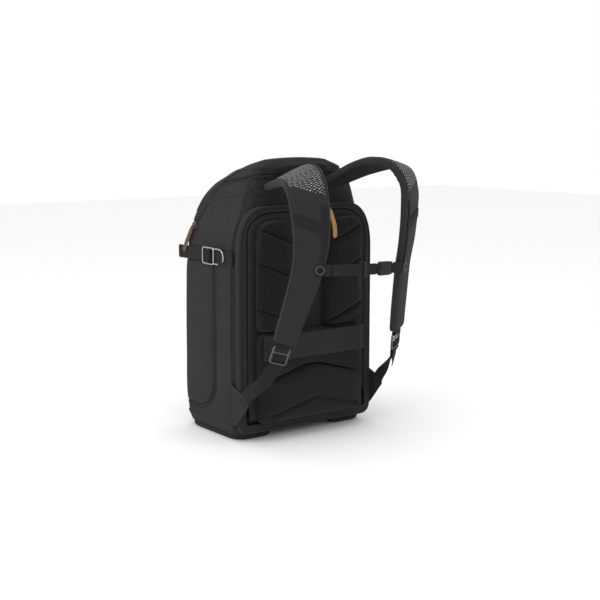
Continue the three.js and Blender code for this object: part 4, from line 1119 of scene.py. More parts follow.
def strap_frame(side, share):
    """Centre, across, along, out and width of a strap; side is 1 for the right and -1 for the left."""
    rise, crest_twist = strap_rises[side]
    corners = [(strap_root[0] + row[0] * (strap_end_x - strap_root[0]), -back_reach - 2 - row[1] * strap_reach,
                strap_root[1] + row[2] * rise - row[3] * strap_drop) for row in strap_route]
    centre, along = spline(corners, share)
    at = share * (len(strap_route) - 1)
    low = min(int(at), len(strap_route) - 2)
    row = strap_route[low] * (1 - at + low) + strap_route[low + 1] * (at - low)
    across = np.array([1.0, 0, 0]) - along * along[0]
    across /= np.linalg.norm(across)
    out = np.cross(along, across)
    angle = -(row[5] + row[6] * crest_twist) * math.radians(strap_twist)
    across, out = turned(across, along, angle), turned(out, along, angle)
    flip = np.array([side, 1, 1])
    return centre * flip, across * flip, along * flip, out * flip, row[4] * strap_width


def strap_section(width):
    """Half the section of the strap, from the middle of its face round the edge to its lining."""
    half, thick = width / 2, strap_thickness / 2
    return [(0, thick + 0.9), (half * 0.3, thick + 0.8), (half * 0.6, thick + 0.4), (half - 8, thick - 0.2),
            (half - 5.6, thick - 0.5), (half - 4.6, thick - 1.5), (half - 3.8, thick - 0.6),
            (half - 2.2, thick - 0.6), (half - 0.6, thick - 1.8), (half + 0.1, thick - 3.6), (half + 0.3, 0),
            (half, -thick + 3.4), (half - 1, -thick + 1.4), (half - 3, -thick + 0.3), (half - 4.2, -thick + 0.9),
            (half - 5.2, -thick + 0.2), (half * 0.6, -thick - 0.2), (half * 0.3, -thick - 0.3)]


strap_cloth = cloth_finish("strap_cloth", (0.034, 0.032, 0.0335), (0.0165, 0.0157, 0.0165), thread=0.8,
                           roughness=0.85, sheen=0.2, relief=0.3, laid=True)

# The lining is a dark knit of its own, and its tone is set to half the face's as painted shade on the strap's
# underside.
lining_knit_and_shade = cloth_finish("lining_knit_and_shade", (0.017, 0.0165, 0.017), (0.008, 0.008, 0.008), thread=1.2,
                            roughness=0.92, sheen=0.1, relief=0.4, laid=True)


def strap_surface(side, shares, section_at):
    spots, lay, length, before = [], [], 0.0, None
    for share in shares:
        centre, across, along, out, width = strap_frame(side, share)
        length += 0 if before is None else float(np.linalg.norm(centre - before))
        before = centre
        for u, v in section_at(width, share):
            spots.append(centre + across * u + out * v)
            lay.append((u + (300 if v < -1 else 0), length))
    return np.array(spots), np.array(lay)


def full_section(width, share):
    half = strap_section(width)
    return half + [(-u, v) for u, v in half[1:][::-1]]


for side, word in ((1, "right"), (-1, "left")):
    shares = np.concatenate([[0.03], np.linspace(0.04, 0.985, 124), [0.992, 0.997, 1.0]])
    end_taper = {0.992: 0.97, 0.997: 0.9, 1.0: 0.78}

    def shaped(width, share):
        squeeze = end_taper.get(float(share), 1)
        crease = 0.5 * math.sin(share * 190) * math.exp(-((share - 0.44) / 0.09) ** 2)
        return [(u * (1 - (1 - squeeze) * 0.35), (v * squeeze) - (crease if v < 0 else 0))
                for u, v in full_section(width, share)]

    spots, lay = strap_surface(side, shares, shaped)
    count = len(full_section(50, 0))
    faces = grid_faces(len(shares), count, closed=True)
    faces += [tuple(range(count))[::-1], tuple(range(len(spots) - count, len(spots)))]
    uneven = 0.45 * wander(spots, 40, 41 + side) + 0.25 * wander(spots, 14, 44 + side)
    spots = spots + uneven[:, None] * np.array([0, -1, 0.3])
    strap = make_piece("strap_pad_" + word, spots, faces, strap_cloth, "pad", ["shoulder_strap_" + word], lay=lay)
    # The inner faces of the section take the lining: its own dark knit plus painted shade.
    strap.data.materials.append(lining_knit_and_shade)
    for face in strap.data.polygons[:(len(shares) - 1) * count]:
        if 13 <= face.index % count <= count - 14:
            face.material_index = 1
    for sign in (-1, 1):
        row = [strap_frame(side, share) for share in np.linspace(0.06, 0.985, 150)]
        stitch_lines.append(np.array([c + a * sign * (w / 2 - 7.4) + o * (strap_thickness / 2 + 0.25)
                                      for c, a, _, o, w in row]))


strap_length = 610.0


def on_strap(side, first, last, steps, rows, skew=(0, 0)):
    """A thin panel on the strap's face, from rows of (across, out); skew lowers its inner edge at both ends."""
    spots, lay = [], []
    for step, share in enumerate(np.linspace(first, last, steps)):
        slope = skew[0] + (skew[1] - skew[0]) * step / (steps - 1)
        for u, v in rows(strap_frame(side, share)[4], share):
            local = share - slope * u / strap_length
            centre, across, along, out, width = strap_frame(side, local)
            spots.append(centre + across * u + out * (strap_thickness / 2 + v))
            lay.append((u, local * strap_length))
    count = len(rows(50, 0))
    faces = grid_faces(steps, count, closed=True)
    faces += [tuple(range(count))[::-1], tuple(range(len(spots) - count, len(spots)))]
    return np.array(spots), faces, np.array(lay)


def flat_rows(margin, height, lip=1.2):
    def rows(width, share):
        half = width / 2 - margin
        top = [(-half, 0.2), (-half + lip * 0.4, height * 0.8), (-half + lip, height)]
        top += [(half * t, height + 0.75 * (1 - t * t)) for t in np.linspace(-0.88, 0.88, 9)]
        top += [(half - lip, height), (half - lip * 0.4, height * 0.8), (half, 0.2)]
        return top + [(half, -0.6), (-half, -0.6)]
    return rows


def perforated_finish(name):
    """Spacer knit: pale raised dots of fibre over a dark open ground, broken by darker rows, as laid."""
    material = cloth_finish(name, (0.38, 0.355, 0.365), (0.22, 0.205, 0.215), thread=0.9, roughness=0.8,
                            sheen=0.2, relief=0.3, laid=True)
    nodes, links = material.node_tree.nodes, material.node_tree.links
    where = next(n for n in nodes if n.type == "TEX_COORD")
    shader = nodes["Principled BSDF"]
    plain = shader.inputs["Base Color"].links[0].from_socket
    turn = nodes.new("ShaderNodeMapping")
    turn.inputs["Rotation"].default_value = (0, 0, math.radians(45))
    links.new(where.outputs["UV"], turn.inputs["Vector"])
    dots = nodes.new("ShaderNodeTexVoronoi")
    dots.inputs["Scale"].default_value = 1000 / 6.0
    dots.inputs["Randomness"].default_value = 0.15
    links.new(turn.outputs["Vector"], dots.inputs["Vector"])
    edge = nodes.new("ShaderNodeMapRange")
    edge.inputs["From Min"].default_value = 0.37
    edge.inputs["From Max"].default_value = 0.28
    links.new(dots.outputs["Distance"], edge.inputs["Value"])
    rows = nodes.new("ShaderNodeTexWave")
    rows.bands_direction = "Y"
    rows.inputs["Scale"].default_value = 1000 / 9.5 / 20 * math.tau
    rows.inputs["Distortion"].default_value = 0.4
    links.new(where.outputs["UV"], rows.inputs["Vector"])
    gap = nodes.new("ShaderNodeMapRange")
    gap.inputs["From Min"].default_value = 0.05
    gap.inputs["From Max"].default_value = 0.3
    gap.inputs["To Min"].default_value = 0.25
    links.new(rows.outputs["Fac"], gap.inputs["Value"])
    seen = nodes.new("ShaderNodeMath")
    seen.operation = "MULTIPLY"
    links.new(edge.outputs["Result"], seen.inputs[0])
    links.new(gap.outputs["Result"], seen.inputs[1])
    mix = nodes.new("ShaderNodeMix")
    mix.data_type = "RGBA"
    mix.inputs["A"].default_value = (0.016, 0.015, 0.016, 1)
    links.new(seen.outputs[0], mix.inputs["Factor"])
    links.new(plain, mix.inputs["B"])
    links.new(mix.outputs["Result"], shader.inputs["Base Color"])
    bump = shader.inputs["Normal"].links[0].from_node
    deeper = nodes.new("ShaderNodeBump")
    deeper.inputs["Strength"].default_value = 0.7
    deeper.inputs["Distance"].default_value = 0.0008
    links.new(edge.outputs["Result"], deeper.inputs["Height"])
    links.new(bump.outputs["Normal"], deeper.inputs["Normal"])
    links.new(deeper.outputs["Normal"], shader.inputs["Normal"])
    return material


perforated = perforated_finish("perforated_knit")
band_weave = cloth_finish("webbing_weave", (0.027, 0.0255, 0.0268), (0.012, 0.0115, 0.012), thread=1.3, roughness=0.75,
                          sheen=0.1, relief=0.7, laid=True)
for side, word in ((1, "right"), (-1, "left")):
    spots, faces, lay = on_strap(side, 8.4 / 40, 20.2 / 40, 44, flat_rows(6.4, 1.3), (0, 0.78))
    make_piece("strap_knit_" + word, spots, faces, perforated, "perforated", ["strap_patch_" + word], lay=lay)
    spots, faces, lay = on_strap(side, 0.618, 0.652, 10, flat_rows(5.2, 1.9), (0.5, 0.5))
    make_piece("strap_band_" + word, spots, faces, band_weave, "webbing", lay=lay)
    spots, faces, lay = on_strap(side, 0.575, 0.8, 60, lambda width, share: [
        (-0.34 * width + u, v) for u, v in ((-4, 0.3), (-3.9, 1.5), (-3.4, 1.9), (3.4, 1.9), (3.9, 1.5), (4, 0.3),
                                            (4, -0.8), (-4, -0.8))])
    make_piece("strap_rail_webbing_" + word, spots, faces, band_weave, "webbing", ["strap_rail_" + word], lay=lay)
    for share in (0.668, 0.72, 0.77):
        centre, across, along, out, width = strap_frame(side, share)
        centre = centre - across * 0.34 * width
        bar = [centre + across * (k * 0.55) + along * (0.9 * (-1) ** k) + out * (strap_thickness / 2 + 1.8)
               for k in range(-8, 9)]
        stitch_lines.append(np.array(bar))
    for share, slope in ((9 / 40, 0), (19.7 / 40, 0.76), (0.621, 0.5), (0.649, 0.5)):
        width, row = strap_frame(side, share)[4], []
        for u in np.linspace(-width / 2 + 11, width / 2 - 11, 14):
            centre, across, along, out, _ = strap_frame(side, share - slope * u / strap_length)
            row.append(centre + across * u + out * (strap_thickness / 2 + 2.0 - 0.0009 * u * u))
        stitch_lines.append(np.array(row))


# Ladder locks and lower webbing: at the end of each strap a stubby webbing tab holds a metal lock with
# cross bars. The lower webbing comes up from the wing, goes over the bars and hangs back as a short tail.
def metal_finish(name, colour, roughness, scratch=0.08, edge_tone=None, metallic=1.0):
    """Metal with fine brushing, faint blotches and, where an edge colour is given, a lighter colour on sharp convex
    edges.
    """
    material = bpy.data.materials.new(name)
    material.use_nodes = True
    nodes, links = material.node_tree.nodes, material.node_tree.links
    shader = nodes["Principled BSDF"]
    shader.inputs["Metallic"].default_value = metallic
    where = nodes.new("ShaderNodeTexCoord")
    cloud = nodes.new("ShaderNodeTexNoise")
    cloud.inputs["Scale"].default_value = 180
    cloud.inputs["Detail"].default_value = 5
    links.new(where.outputs["Object"], cloud.inputs["Vector"])
    tone = nodes.new("ShaderNodeMix")
    tone.data_type = "RGBA"
    tone.inputs["A"].default_value = (*[c * 0.78 for c in colour], 1)
    tone.inputs["B"].default_value = (*colour, 1)
    links.new(cloud.outputs["Fac"], tone.inputs["Factor"])
    final = tone.outputs["Result"]
    # Sharp convex edges, found by their pointiness, are blended towards the lighter edge colour.
    if edge_tone:
        shape = nodes.new("ShaderNodeNewGeometry")
        edge = nodes.new("ShaderNodeMapRange")
        edge.inputs["From Min"].default_value = 0.52
        edge.inputs["From Max"].default_value = 0.62
        links.new(shape.outputs["Pointiness"], edge.inputs["Value"])
        edge_blend = nodes.new("ShaderNodeMix")
        edge_blend.data_type = "RGBA"
        edge_blend.inputs["B"].default_value = (*edge_tone, 1)
        links.new(edge.outputs["Result"], edge_blend.inputs["Factor"])
        links.new(final, edge_blend.inputs["A"])
        final = edge_blend.outputs["Result"]
    links.new(final, shader.inputs["Base Color"])
    rough = nodes.new("ShaderNodeMapRange")
    rough.inputs["To Min"].default_value = roughness - scratch
    rough.inputs["To Max"].default_value = roughness + scratch
    links.new(cloud.outputs["Fac"], rough.inputs["Value"])
    links.new(rough.outputs["Result"], shader.inputs["Roughness"])
    stretch = nodes.new("ShaderNodeMapping")
    stretch.inputs["Scale"].default_value = (300, 300, 3000)
    links.new(where.outputs["Object"], stretch.inputs["Vector"])
    brush = nodes.new("ShaderNodeTexNoise")
    brush.inputs["Scale"].default_value = 1
    links.new(stretch.outputs["Vector"], brush.inputs["Vector"])
    bump = nodes.new("ShaderNodeBump")
    bump.inputs["Strength"].default_value = 0.12
    bump.inputs["Distance"].default_value = 0.0003
    links.new(brush.outputs["Fac"], bump.inputs["Height"])
    links.new(bump.outputs["Normal"], shader.inputs["Normal"])
    return material


# Gunmetal is lighter on its sharp convex edges.
gunmetal = metal_finish("gunmetal", (0.10, 0.10, 0.105), 0.36, edge_tone=(0.45, 0.45, 0.46))
nickel = metal_finish("satin_nickel", (0.42, 0.42, 0.44), 0.3)
webbing, webbing_thick, lock_length, lock_width, lock_thick, lock_rim, tab_length = 25, 2, 34, 33, 4, 3.6, 7
wing_x, wing_tip_y, wing_top, wing_bottom, wing_thick, wing_sewn = 155.35, 128, 110, 34, 3, 14


def rod(path, out, width, thick, closed_path=False, power=2.6, count=12):
    """A bar with a rounded section, width across and thick outwards, along a path."""
    section = []
    for angle in np.linspace(0, math.tau, count, endpoint=False):
        c, v = math.cos(angle), math.sin(angle)
        section.append((math.copysign(abs(c) ** (2 / power), c) * width / 2,
                        math.copysign(abs(v) ** (2 / power), v) * thick / 2))
    return sweep(path, out, section, closed_path)


def rounded_loop(width, length, radius, step=1.6):
    """Points (u, v) of a rounded rectangle about its middle."""
    x, y = width / 2 - radius, length / 2 - radius
    spots = []
    for cx, cy, start in ((x, y, 0), (-x, y, 90), (-x, -y, 180), (x, -y, 270)):
        for angle in np.radians(np.linspace(start, start + 90, 5)):
            spots.append((cx + radius * math.cos(angle), cy + radius * math.sin(angle)))
    return np.array(spots)


end_centre, end_across, end_along, end_out, _ = strap_frame(1, 1.0)


def by_lock(u, d, o):
    """A point by the right strap's end: across, along from the pad, and out."""
    return end_centre + end_across * u + end_along * d + end_out * o


def both_sides(stem, build, *details, **more):
    """The same piece on the right and, mirrored, on the left."""
    spots, faces = build[:2]
    lay = build[2] if len(build) > 2 else None
    finish, slot, node = details
    made = []
    for side, word in ((1, "right"), (-1, "left")):
        made.append(make_piece(stem + "_" + word, spots * (side, 1, 1), faces if side > 0 else
                               [f[::-1] for f in faces], finish, slot, [node + "_" + word] if node else [],
                               lay=lay, **more))
    return made


lock_mid = tab_length + lock_length / 2
loop = rounded_loop(lock_width - lock_rim, lock_length - lock_rim, 4.5)
bow = lambda u: -0.004 * u * u + 0.4
frame_path = np.array([by_lock(u, lock_mid + v, bow(u)) for u, v in loop])
parts = [rod(frame_path, np.tile(end_out, (len(loop), 1)), lock_rim, lock_thick, True, 3.2)]
slot_length = (lock_length - 4 * lock_rim) / 3
for k in (1, 2):
    d = tab_length + lock_rim / 2 + k * (slot_length + lock_rim)
    bar = np.array([by_lock(u, d, bow(u)) for u in np.linspace(-lock_width / 2 + 2, lock_width / 2 - 2, 9)])
    parts.append(rod(bar, np.tile(end_out, (9, 1)), lock_rim * 0.85, lock_thick * 0.95, power=2.4))
both_sides("lock_frame", merged(parts), gunmetal, "dark_metal", "ladder_lock")


def webbing_band(path, out, width=25.0, thick=1.9):
    """Flat woven webbing with rounded edges, and its place as laid for the weave."""
    half, rise = width / 2, thick / 2
    section = [(half - 0.5, -rise), (half, -rise * 0.3), (half, rise * 0.3), (half - 0.5, rise), (half * 0.5, rise * 1.05),
               (0, rise * 1.05), (-half * 0.5, rise * 1.05), (-half + 0.5, rise), (-half, rise * 0.3),
               (-half, -rise * 0.3), (-half + 0.5, -rise), (0, -rise)]
    spots, faces = sweep(path, out, section)
    length = np.concatenate([[0], np.cumsum(np.linalg.norm(np.diff(path, axis=0), axis=1))])
    lay = np.array([(u, d) for d in length for u, _ in section])
    return spots, faces, lay


tab_path = [by_lock(0, d, o) for d, o in ((-3.5, 1.6), (0, 1.7), (4, 2.0), (7, 2.6), (9.5, 3.1), (11.8, 2.4), (12.8, 0.4),
                                          (11.8, -1.8), (9.5, -2.8), (7, -2.3), (4, -1.8), (0, -1.5), (-3.5, -1.4))]
tab_out = [end_out * math.cos(a) + end_along * math.sin(a)
           for a in (0, 0, 0.1, 0.1, 0.1, 0.8, 1.57, 2.4, 3.05, 3.2, 3.2, 3.14, 3.14)]
both_sides("lock_tab", webbing_band(np.array(tab_path), np.array(tab_out), 25, 1.5), band_weave, "webbing",
           "strap_tab")

wing_inside = wing_x + wing_thick / 2
wing_tip_z = (wing_top + wing_bottom) / 2 + 10
lock_end = by_lock(0, tab_length + lock_length - 2, 0)
wing_edge = np.array([wing_inside, -wing_tip_y + wing_sewn * 0.8, wing_tip_z + wing_sewn * 0.7])
lower_mid = (lock_end + wing_edge) / 2 + (0, -4, -4)
wing_seat = np.array([wing_inside, -wing_tip_y + wing_sewn * 1.5, wing_tip_z - wing_sewn * 0.6])
lower_corners = [lock_end, lower_mid, wing_edge, wing_seat]


def lower_station(share):
    spot, along = spline(lower_corners, share)
    wing_across = np.array([0, -along[2], along[1]])
    wing_across /= np.linalg.norm(wing_across)
    t = min(max(share, 0) * 1.5, 1)
    across = end_across * (1 - t) + wing_across * t
    across -= along * across.dot(along)
    across /= np.linalg.norm(across)
    return spot, across, np.cross(along, across)


stations = [lower_station(t) for t in np.linspace(0.14, 1, 22)]
load_path = [by_lock(0, d, o) for d, o in ((24.6, -1.6), (26.0, 0.9), (28.8, 2.7), (31.8, 1.0), (34.0, -1.6),
                                          (38.2, -3.2))] + [p for p, _, _ in stations]
load_out = [end_out * math.cos(a) + end_along * math.sin(a) for a in (-1.3, -0.7, 0, 0.8, 0.7, 0.1)]
load_out += [o for _, _, o in stations]
both_sides("lower_strap", webbing_band(np.array(load_path), np.array(load_out)), band_weave, "webbing",
           "lower_webbing")
tail_length, tail_total = 36, float(sum(np.linalg.norm(lower_station(t)[0] - lower_station(t + 0.02)[0])
                                        for t in np.arange(0, 1, 0.02)))
tail_shares = np.linspace(0.13, (tail_length - 2) / tail_total, 14)
tail = [lower_station(t) for t in tail_shares]
tail_path = [by_lock(0, d, o) for d, o in ((40.6, 0.4), (42.2, 1.6), (44.5, 2.6))]
tail_path += [p + o * (2.6 + 3.8 * math.sin(math.pi * k / 19)) for k, (p, _, o) in enumerate(tail)]
tail_out = [end_out] * 3 + [o for _, _, o in tail]
both_sides("strap_tail", webbing_band(np.array(tail_path), np.array(tail_out), 25, 1.7), band_weave, "webbing",
           "webbing_tail")


# Wings: folded triangles of the bag's cloth in the rear seams, their edges turned and topstitched.
# The lower webbing is boxed down on the tip with a square of stitching.
wing_root = -back_reach + 12
wing_corners = [(wing_root, wing_bottom), (wing_root, wing_top), (-wing_tip_y + webbing, wing_tip_z + webbing * 0.6),
                (-wing_tip_y, wing_tip_z - 2), (-back_reach - 8, wing_bottom - 1)]
wing_line = bent_outline(wing_corners, [2, 3, 3, 2.5, 4], 3)
wing_centre = wing_line.mean(axis=0)
rings = []
for share, depth in ((0.97, 0.2), (1, 0.9), (1, 2.0), (0.965, 2.9), (0.93, 3.1), (0.885, 3.0), (0.86, 2.4), (0.7, 2.4),
                     (0.45, 2.5), (0.2, 2.5)):
    flat = wing_centre + (wing_line - wing_centre) * share
    rings.append(np.stack([wing_x + depth + 0.5 * wander(np.stack([flat[:, 0], flat[:, 1], flat[:, 0] * 0], -1), 30, 51),
                           flat[:, 0], flat[:, 1]], -1))
columns = len(wing_line)
faces = grid_faces(len(rings), columns, closed=True)
faces += [tuple(range(columns))[::-1], tuple(range((len(rings) - 1) * columns, len(rings) * columns))]
wings = both_sides("wing_cloth", (np.concatenate(rings), faces), canvas, "canvas", "strap_wing")
for side in (-1, 1):
    edge = wing_centre + (wing_line - wing_centre) * 0.9
    stitch_lines.append(np.stack([np.full(columns, side * (wing_x + 3.3)), edge[:, 0], edge[:, 1]], -1))
    run = (wing_seat - wing_edge) * 0.62
    sideways = np.array([0, -run[2], run[1]]) / np.linalg.norm(run) * 10
    first = wing_edge + run * 0.3 + (wing_thick / 2 + 0.1, 0, 0)
    box = [first + sideways, first - sideways, first + run - sideways, first + run + sideways, first + sideways,
           first + run - sideways]
    path = np.concatenate([np.linspace(a, b, 8)[:-1] for a, b in zip(box, box[1:])])
    stitch_lines.append(path * (side, 1, 1))


# Chest strap: thin webbing between two metal rings, with a folded length held by a keeper
# and a black plastic side-release buckle. It hangs a little lower at the right ring.
chest_share, chest_drop, ring_inner, wire, chest_width = 0.775, 7, 7.5, 3.2, 20
chest_centre, chest_across, _, chest_out, chest_strap = strap_frame(1, chest_share)
ring_at = chest_centre + chest_across * (-chest_strap / 2 + ring_inner)
ring_at = ring_at + chest_out * (strap_thickness / 2 + 0.35 + 1.6 + 0.35 + wire / 2)
chest_y = ring_at[1] - 3
chest_fall = math.atan2(chest_drop, 2 * ring_at[0])


def hung(points):
    """Turns points given level into the chest strap's slight fall, with a little sag."""
    moved = np.array(points, float).reshape(-1, 3)
    x, z = moved[:, 0] + ring_at[0], moved[:, 2] - ring_at[2]
    sag = -1.6 * np.sin(np.clip(x / (2 * ring_at[0]), 0, 1) * math.pi)
    moved[:, 0] = x * math.cos(chest_fall) + z * math.sin(chest_fall) - ring_at[0]
    moved[:, 2] = ring_at[2] - x * math.sin(chest_fall) + z * math.cos(chest_fall) + sag
    return moved


flat_across = np.array([chest_across[0], chest_across[1], 0])
flat_across /= np.linalg.norm(flat_across)
for side, word in ((1, "right"), (-1, "left")):
    turns = np.linspace(0, math.tau, 32, endpoint=False)
    ring_mid = ring_at - (0, 0, chest_drop if side > 0 else 0)
    reach = ring_inner - 0.6
    path = np.array([ring_mid + flat_across * reach * math.cos(a) + np.array([0, 0, reach]) * math.sin(a)
                     for a in turns])
    spots, faces = rod(path, path - ring_mid, 2.4, 2.4, True, 2)
    make_piece("chest_ring_" + word, spots * (side, 1, 1), faces if side > 0 else [f[::-1] for f in faces],
               gunmetal, "metal", ["sternum_ring_" + word])
web_end = ring_at[0] - ring_inner - 0.6
toward_wearer = np.array([0.0, -1.0, 0.0])


def chest_band(name, x0, x1, lift, nodes, thick=1.7, loop_side=0):
    xs = np.linspace(x0, x1, max(int(abs(x1 - x0) / 3), 6))
    path = np.stack([xs, chest_y - lift + 0.35 * np.sin(xs * 0.09), np.full(len(xs), ring_at[2])], -1)
    out = np.tile(toward_wearer, (len(xs), 1))
    if loop_side:
        turn = np.linspace(-math.pi / 2, math.pi / 2, 9)
        bend = np.stack([x1 + loop_side * 3.6 * np.cos(turn), chest_y - lift + 3.4 + 3.4 * np.sin(turn),
                         np.full(9, ring_at[2])], -1)
        back = np.stack([np.linspace(x1, x1 - loop_side * 10, 5), np.full(5, chest_y - lift + 6.8),
                         np.full(5, ring_at[2])], -1)
        around = np.stack([loop_side * np.cos(turn), np.sin(turn), np.zeros(9)], -1)
        path = np.concatenate([path, bend, back])
        out = np.concatenate([out, around, np.tile(-toward_wearer, (5, 1))])
    spots, faces, lay = webbing_band(path, out, chest_width, thick)
    make_piece(name, hung(spots), faces, band_weave, "webbing", nodes, lay=lay)


chest_band("chest_web_left", 27.6, -web_end + 3, 0, ["sternum_web_left"], loop_side=-1)
chest_band("chest_web_right", 62.5, web_end - 3, 0, ["sternum_web_right"], loop_side=1)
chest_band("chest_fold", -6.4, -web_end + 13.5, 2.35, ["sternum_fold"])
for x in (-70, -67, -64):
    stitch_lines.append(hung([(x + 0.5 * (-1) ** k, chest_y - 3.5, ring_at[2] + h)
                              for k, h in enumerate(np.linspace(-8, 8, 12))]))


def plastic_finish(name, colour, roughness=0.38):
    """Moulded plastic: even colour with a fine spark-eroded grain."""
    material = bpy.data.materials.new(name)
    material.use_nodes = True
    nodes, links = material.node_tree.nodes, material.node_tree.links
    shader = nodes["Principled BSDF"]
    shader.inputs["Specular IOR Level"].default_value = 0.3
    where = nodes.new("ShaderNodeTexCoord")
    grain = nodes.new("ShaderNodeTexNoise")
    grain.inputs["Scale"].default_value = 1400
    grain.inputs["Detail"].default_value = 2
    cloud = nodes.new("ShaderNodeTexNoise")
    cloud.inputs["Scale"].default_value = 90
    for node in (grain, cloud):
        links.new(where.outputs["Object"], node.inputs["Vector"])
    tone = nodes.new("ShaderNodeMix")
    tone.data_type = "RGBA"
    tone.inputs["A"].default_value = (*[c * 0.7 for c in colour], 1)
    tone.inputs["B"].default_value = (*colour, 1)
    links.new(cloud.outputs["Fac"], tone.inputs["Factor"])
    links.new(tone.outputs["Result"], shader.inputs["Base Color"])
    rough = nodes.new("ShaderNodeMapRange")
    rough.inputs["To Min"].default_value = roughness - 0.06
    rough.inputs["To Max"].default_value = roughness + 0.1
    links.new(cloud.outputs["Fac"], rough.inputs["Value"])
    links.new(rough.outputs["Result"], shader.inputs["Roughness"])
    bump = nodes.new("ShaderNodeBump")
    bump.inputs["Strength"].default_value = 0.2
    bump.inputs["Distance"].default_value = 0.0001
    links.new(grain.outputs["Fac"], bump.inputs["Height"])
    links.new(bump.outputs["Normal"], shader.inputs["Normal"])
    return material


acetal = plastic_finish("black_acetal", (0.011, 0.0105, 0.0105), 0.5)
buckle_x, buckle_length, buckle_tall, buckle_thick = 28, 34, 26, 9


def loft_x(sections, power=3.4, count=28):
    """A closed form along x: rows of (x, height, thickness), with rounded sections."""
    rings = []
    for x, tall, thick in sections:
        ring = []
        for angle in np.linspace(0, math.tau, count, endpoint=False):
            c, v = math.cos(angle), math.sin(angle)
            ring.append((x, chest_y + math.copysign(abs(c) ** (2 / power), c) * thick / 2,
                         ring_at[2] + math.copysign(abs(v) ** (2 / power), v) * tall / 2))
        rings.append(ring)
    spots = np.array(rings).reshape(-1, 3)
    faces = grid_faces(len(rings), count, closed=True)
    faces += [tuple(range(count))[::-1], tuple(range(len(spots) - count, len(spots)))]
    return spots, faces


def carved(piece, cutters):
    """Cuts closed blocks out of a piece and leaves a plain mesh."""
    for spots, faces in cutters:
        mesh = bpy.data.meshes.new("cutter")
        mesh.from_pydata([place(*p) for p in hung(spots)], [], faces)
        work = bmesh.new()
        work.from_mesh(mesh)
        bmesh.ops.recalc_face_normals(work, faces=work.faces)
        work.to_mesh(mesh)
        work.free()
        block = bpy.data.objects.new("cutter", mesh)
        bpy.context.scene.collection.objects.link(block)
        bite = piece.modifiers.new("bite", "BOOLEAN")
        bite.operation, bite.object, bite.solver = "DIFFERENCE", block, "EXACT"
        settled(piece, {"BOOLEAN"})
        bpy.data.objects.remove(block)
    return piece


def box_spots(x0, x1, y0, y1, z0, z1):
    spots = np.array([(x, y, z) for x in (x0, x1) for y in (y0, y1) for z in (z0, z1)], float)
    faces = [(0, 1, 3, 2), (4, 6, 7, 5), (0, 4, 5, 1), (2, 3, 7, 6), (0, 2, 6, 4), (1, 5, 7, 3)]
    return spots, faces


split_x = buckle_x + buckle_length * 0.58
spots, faces = loft_x([(buckle_x, 16, 3.4), (buckle_x + 0.4, 19, 5), (buckle_x + 2, 22, 6.4), (buckle_x + 5, 25, 8.2),
                       (buckle_x + 9, 25.8, 9.2), (split_x - 3, 25.4, 9.2), (split_x - 0.8, 24.8, 8.8),
                       (split_x - 0.1, 24, 8.2)])
socket = make_piece("chest_buckle_socket", hung(spots), faces, acetal, "plastic", ["buckle_socket"], smooth=0)
cheek = [box_spots(buckle_x + 8.5, split_x - 3.4, chest_y - 2.6, chest_y + 2.6, ring_at[2] + sign * 9.8,
                   ring_at[2] + sign * 14) for sign in (-1, 1)]
carved(socket, cheek + [box_spots(buckle_x + 2.6, buckle_x + 4.4, chest_y - 6, chest_y + 6, ring_at[2] - 9.2,
                                  ring_at[2] + 9.2)])
plug_end = buckle_x + buckle_length
spots, faces = loft_x([(split_x + 0.35, 24, 7.6), (split_x + 1, 24.8, 8.2), (split_x + 4, 25, 8), (plug_end - 5, 24, 6.4),
                       (plug_end - 1, 23, 4.6), (plug_end, 21.5, 3.4)])
plug_parts = [(hung(spots), faces)]
for sign in (-1, 1):
    spots, faces = loft_x([(buckle_x + 8.6, 3.0, 3.0), (buckle_x + 10, 4.4, 4.0), (split_x - 4, 5.2, 4.2),
                           (split_x - 3.6, 3.4, 3.6), (split_x + 0.6, 3.2, 3.6)])
    spots[:, 2] += sign * 8.4
    plug_parts.append((hung(spots), faces))
plug = make_piece("chest_buckle_plug", *merged(plug_parts[:1]), acetal, "plastic", ["buckle_plug"], smooth=0)
carved(plug, [box_spots(plug_end - 4.2, plug_end - 2.4, chest_y - 6, chest_y + 6, ring_at[2] - 9.2, ring_at[2] + 9.2)])
make_piece("chest_buckle_arms", *merged(plug_parts[1:]), acetal, "plastic", smooth=0)
for piece in (socket, plug):
    ease = piece.modifiers.new("ease", "BEVEL")
    ease.width, ease.segments, ease.limit_method = 0.0005, 2, "ANGLE"
keeper_loop = np.array([(-3, chest_y - 1.15 + v, ring_at[2] + u) for u, v in rounded_loop(24.4, 8.0, 2.2)])
keeper_out = np.array([(0, p[1] - chest_y + 1.15, (p[2] - ring_at[2]) * 0.4) for p in keeper_loop])
keeper_out = keeper_out / np.linalg.norm(keeper_out, axis=1, keepdims=True)
spots, faces = rod(keeper_loop, keeper_out, 6, 1.8, True, 3)
make_piece("chest_keeper", hung(spots), faces, acetal, "plastic", ["sternum_keeper"])


# Side compression straps: webbing across each side at the top of the pocket. A nickel ladder buckle
# rides on it, and its hook drops over an anchor loop sewn into the rear seam.
hook_height, hook_length, hook_front, hook_radius, stub_reach, anchor_rear = 339, 40, 16, 16, 107, 77
side_x = 155.35
outward_x = np.array([1.0, 0.0, 0.0])


def side_band(y0, y1, lift, stem, node, thick=1.9, curl=0.0):
    ys = np.linspace(y0, y1, max(int(abs(y1 - y0) / 3), 6))
    path = np.stack([side_x + 1 + lift + 0.25 * np.sin(ys * 0.11) + curl * ramp(ys, 90, 107), ys,
                     np.full(len(ys), float(hook_height))], -1)
    both_sides(stem, webbing_band(path, np.tile(outward_x, (len(ys), 1)), webbing, thick), band_weave, "webbing",
               node)


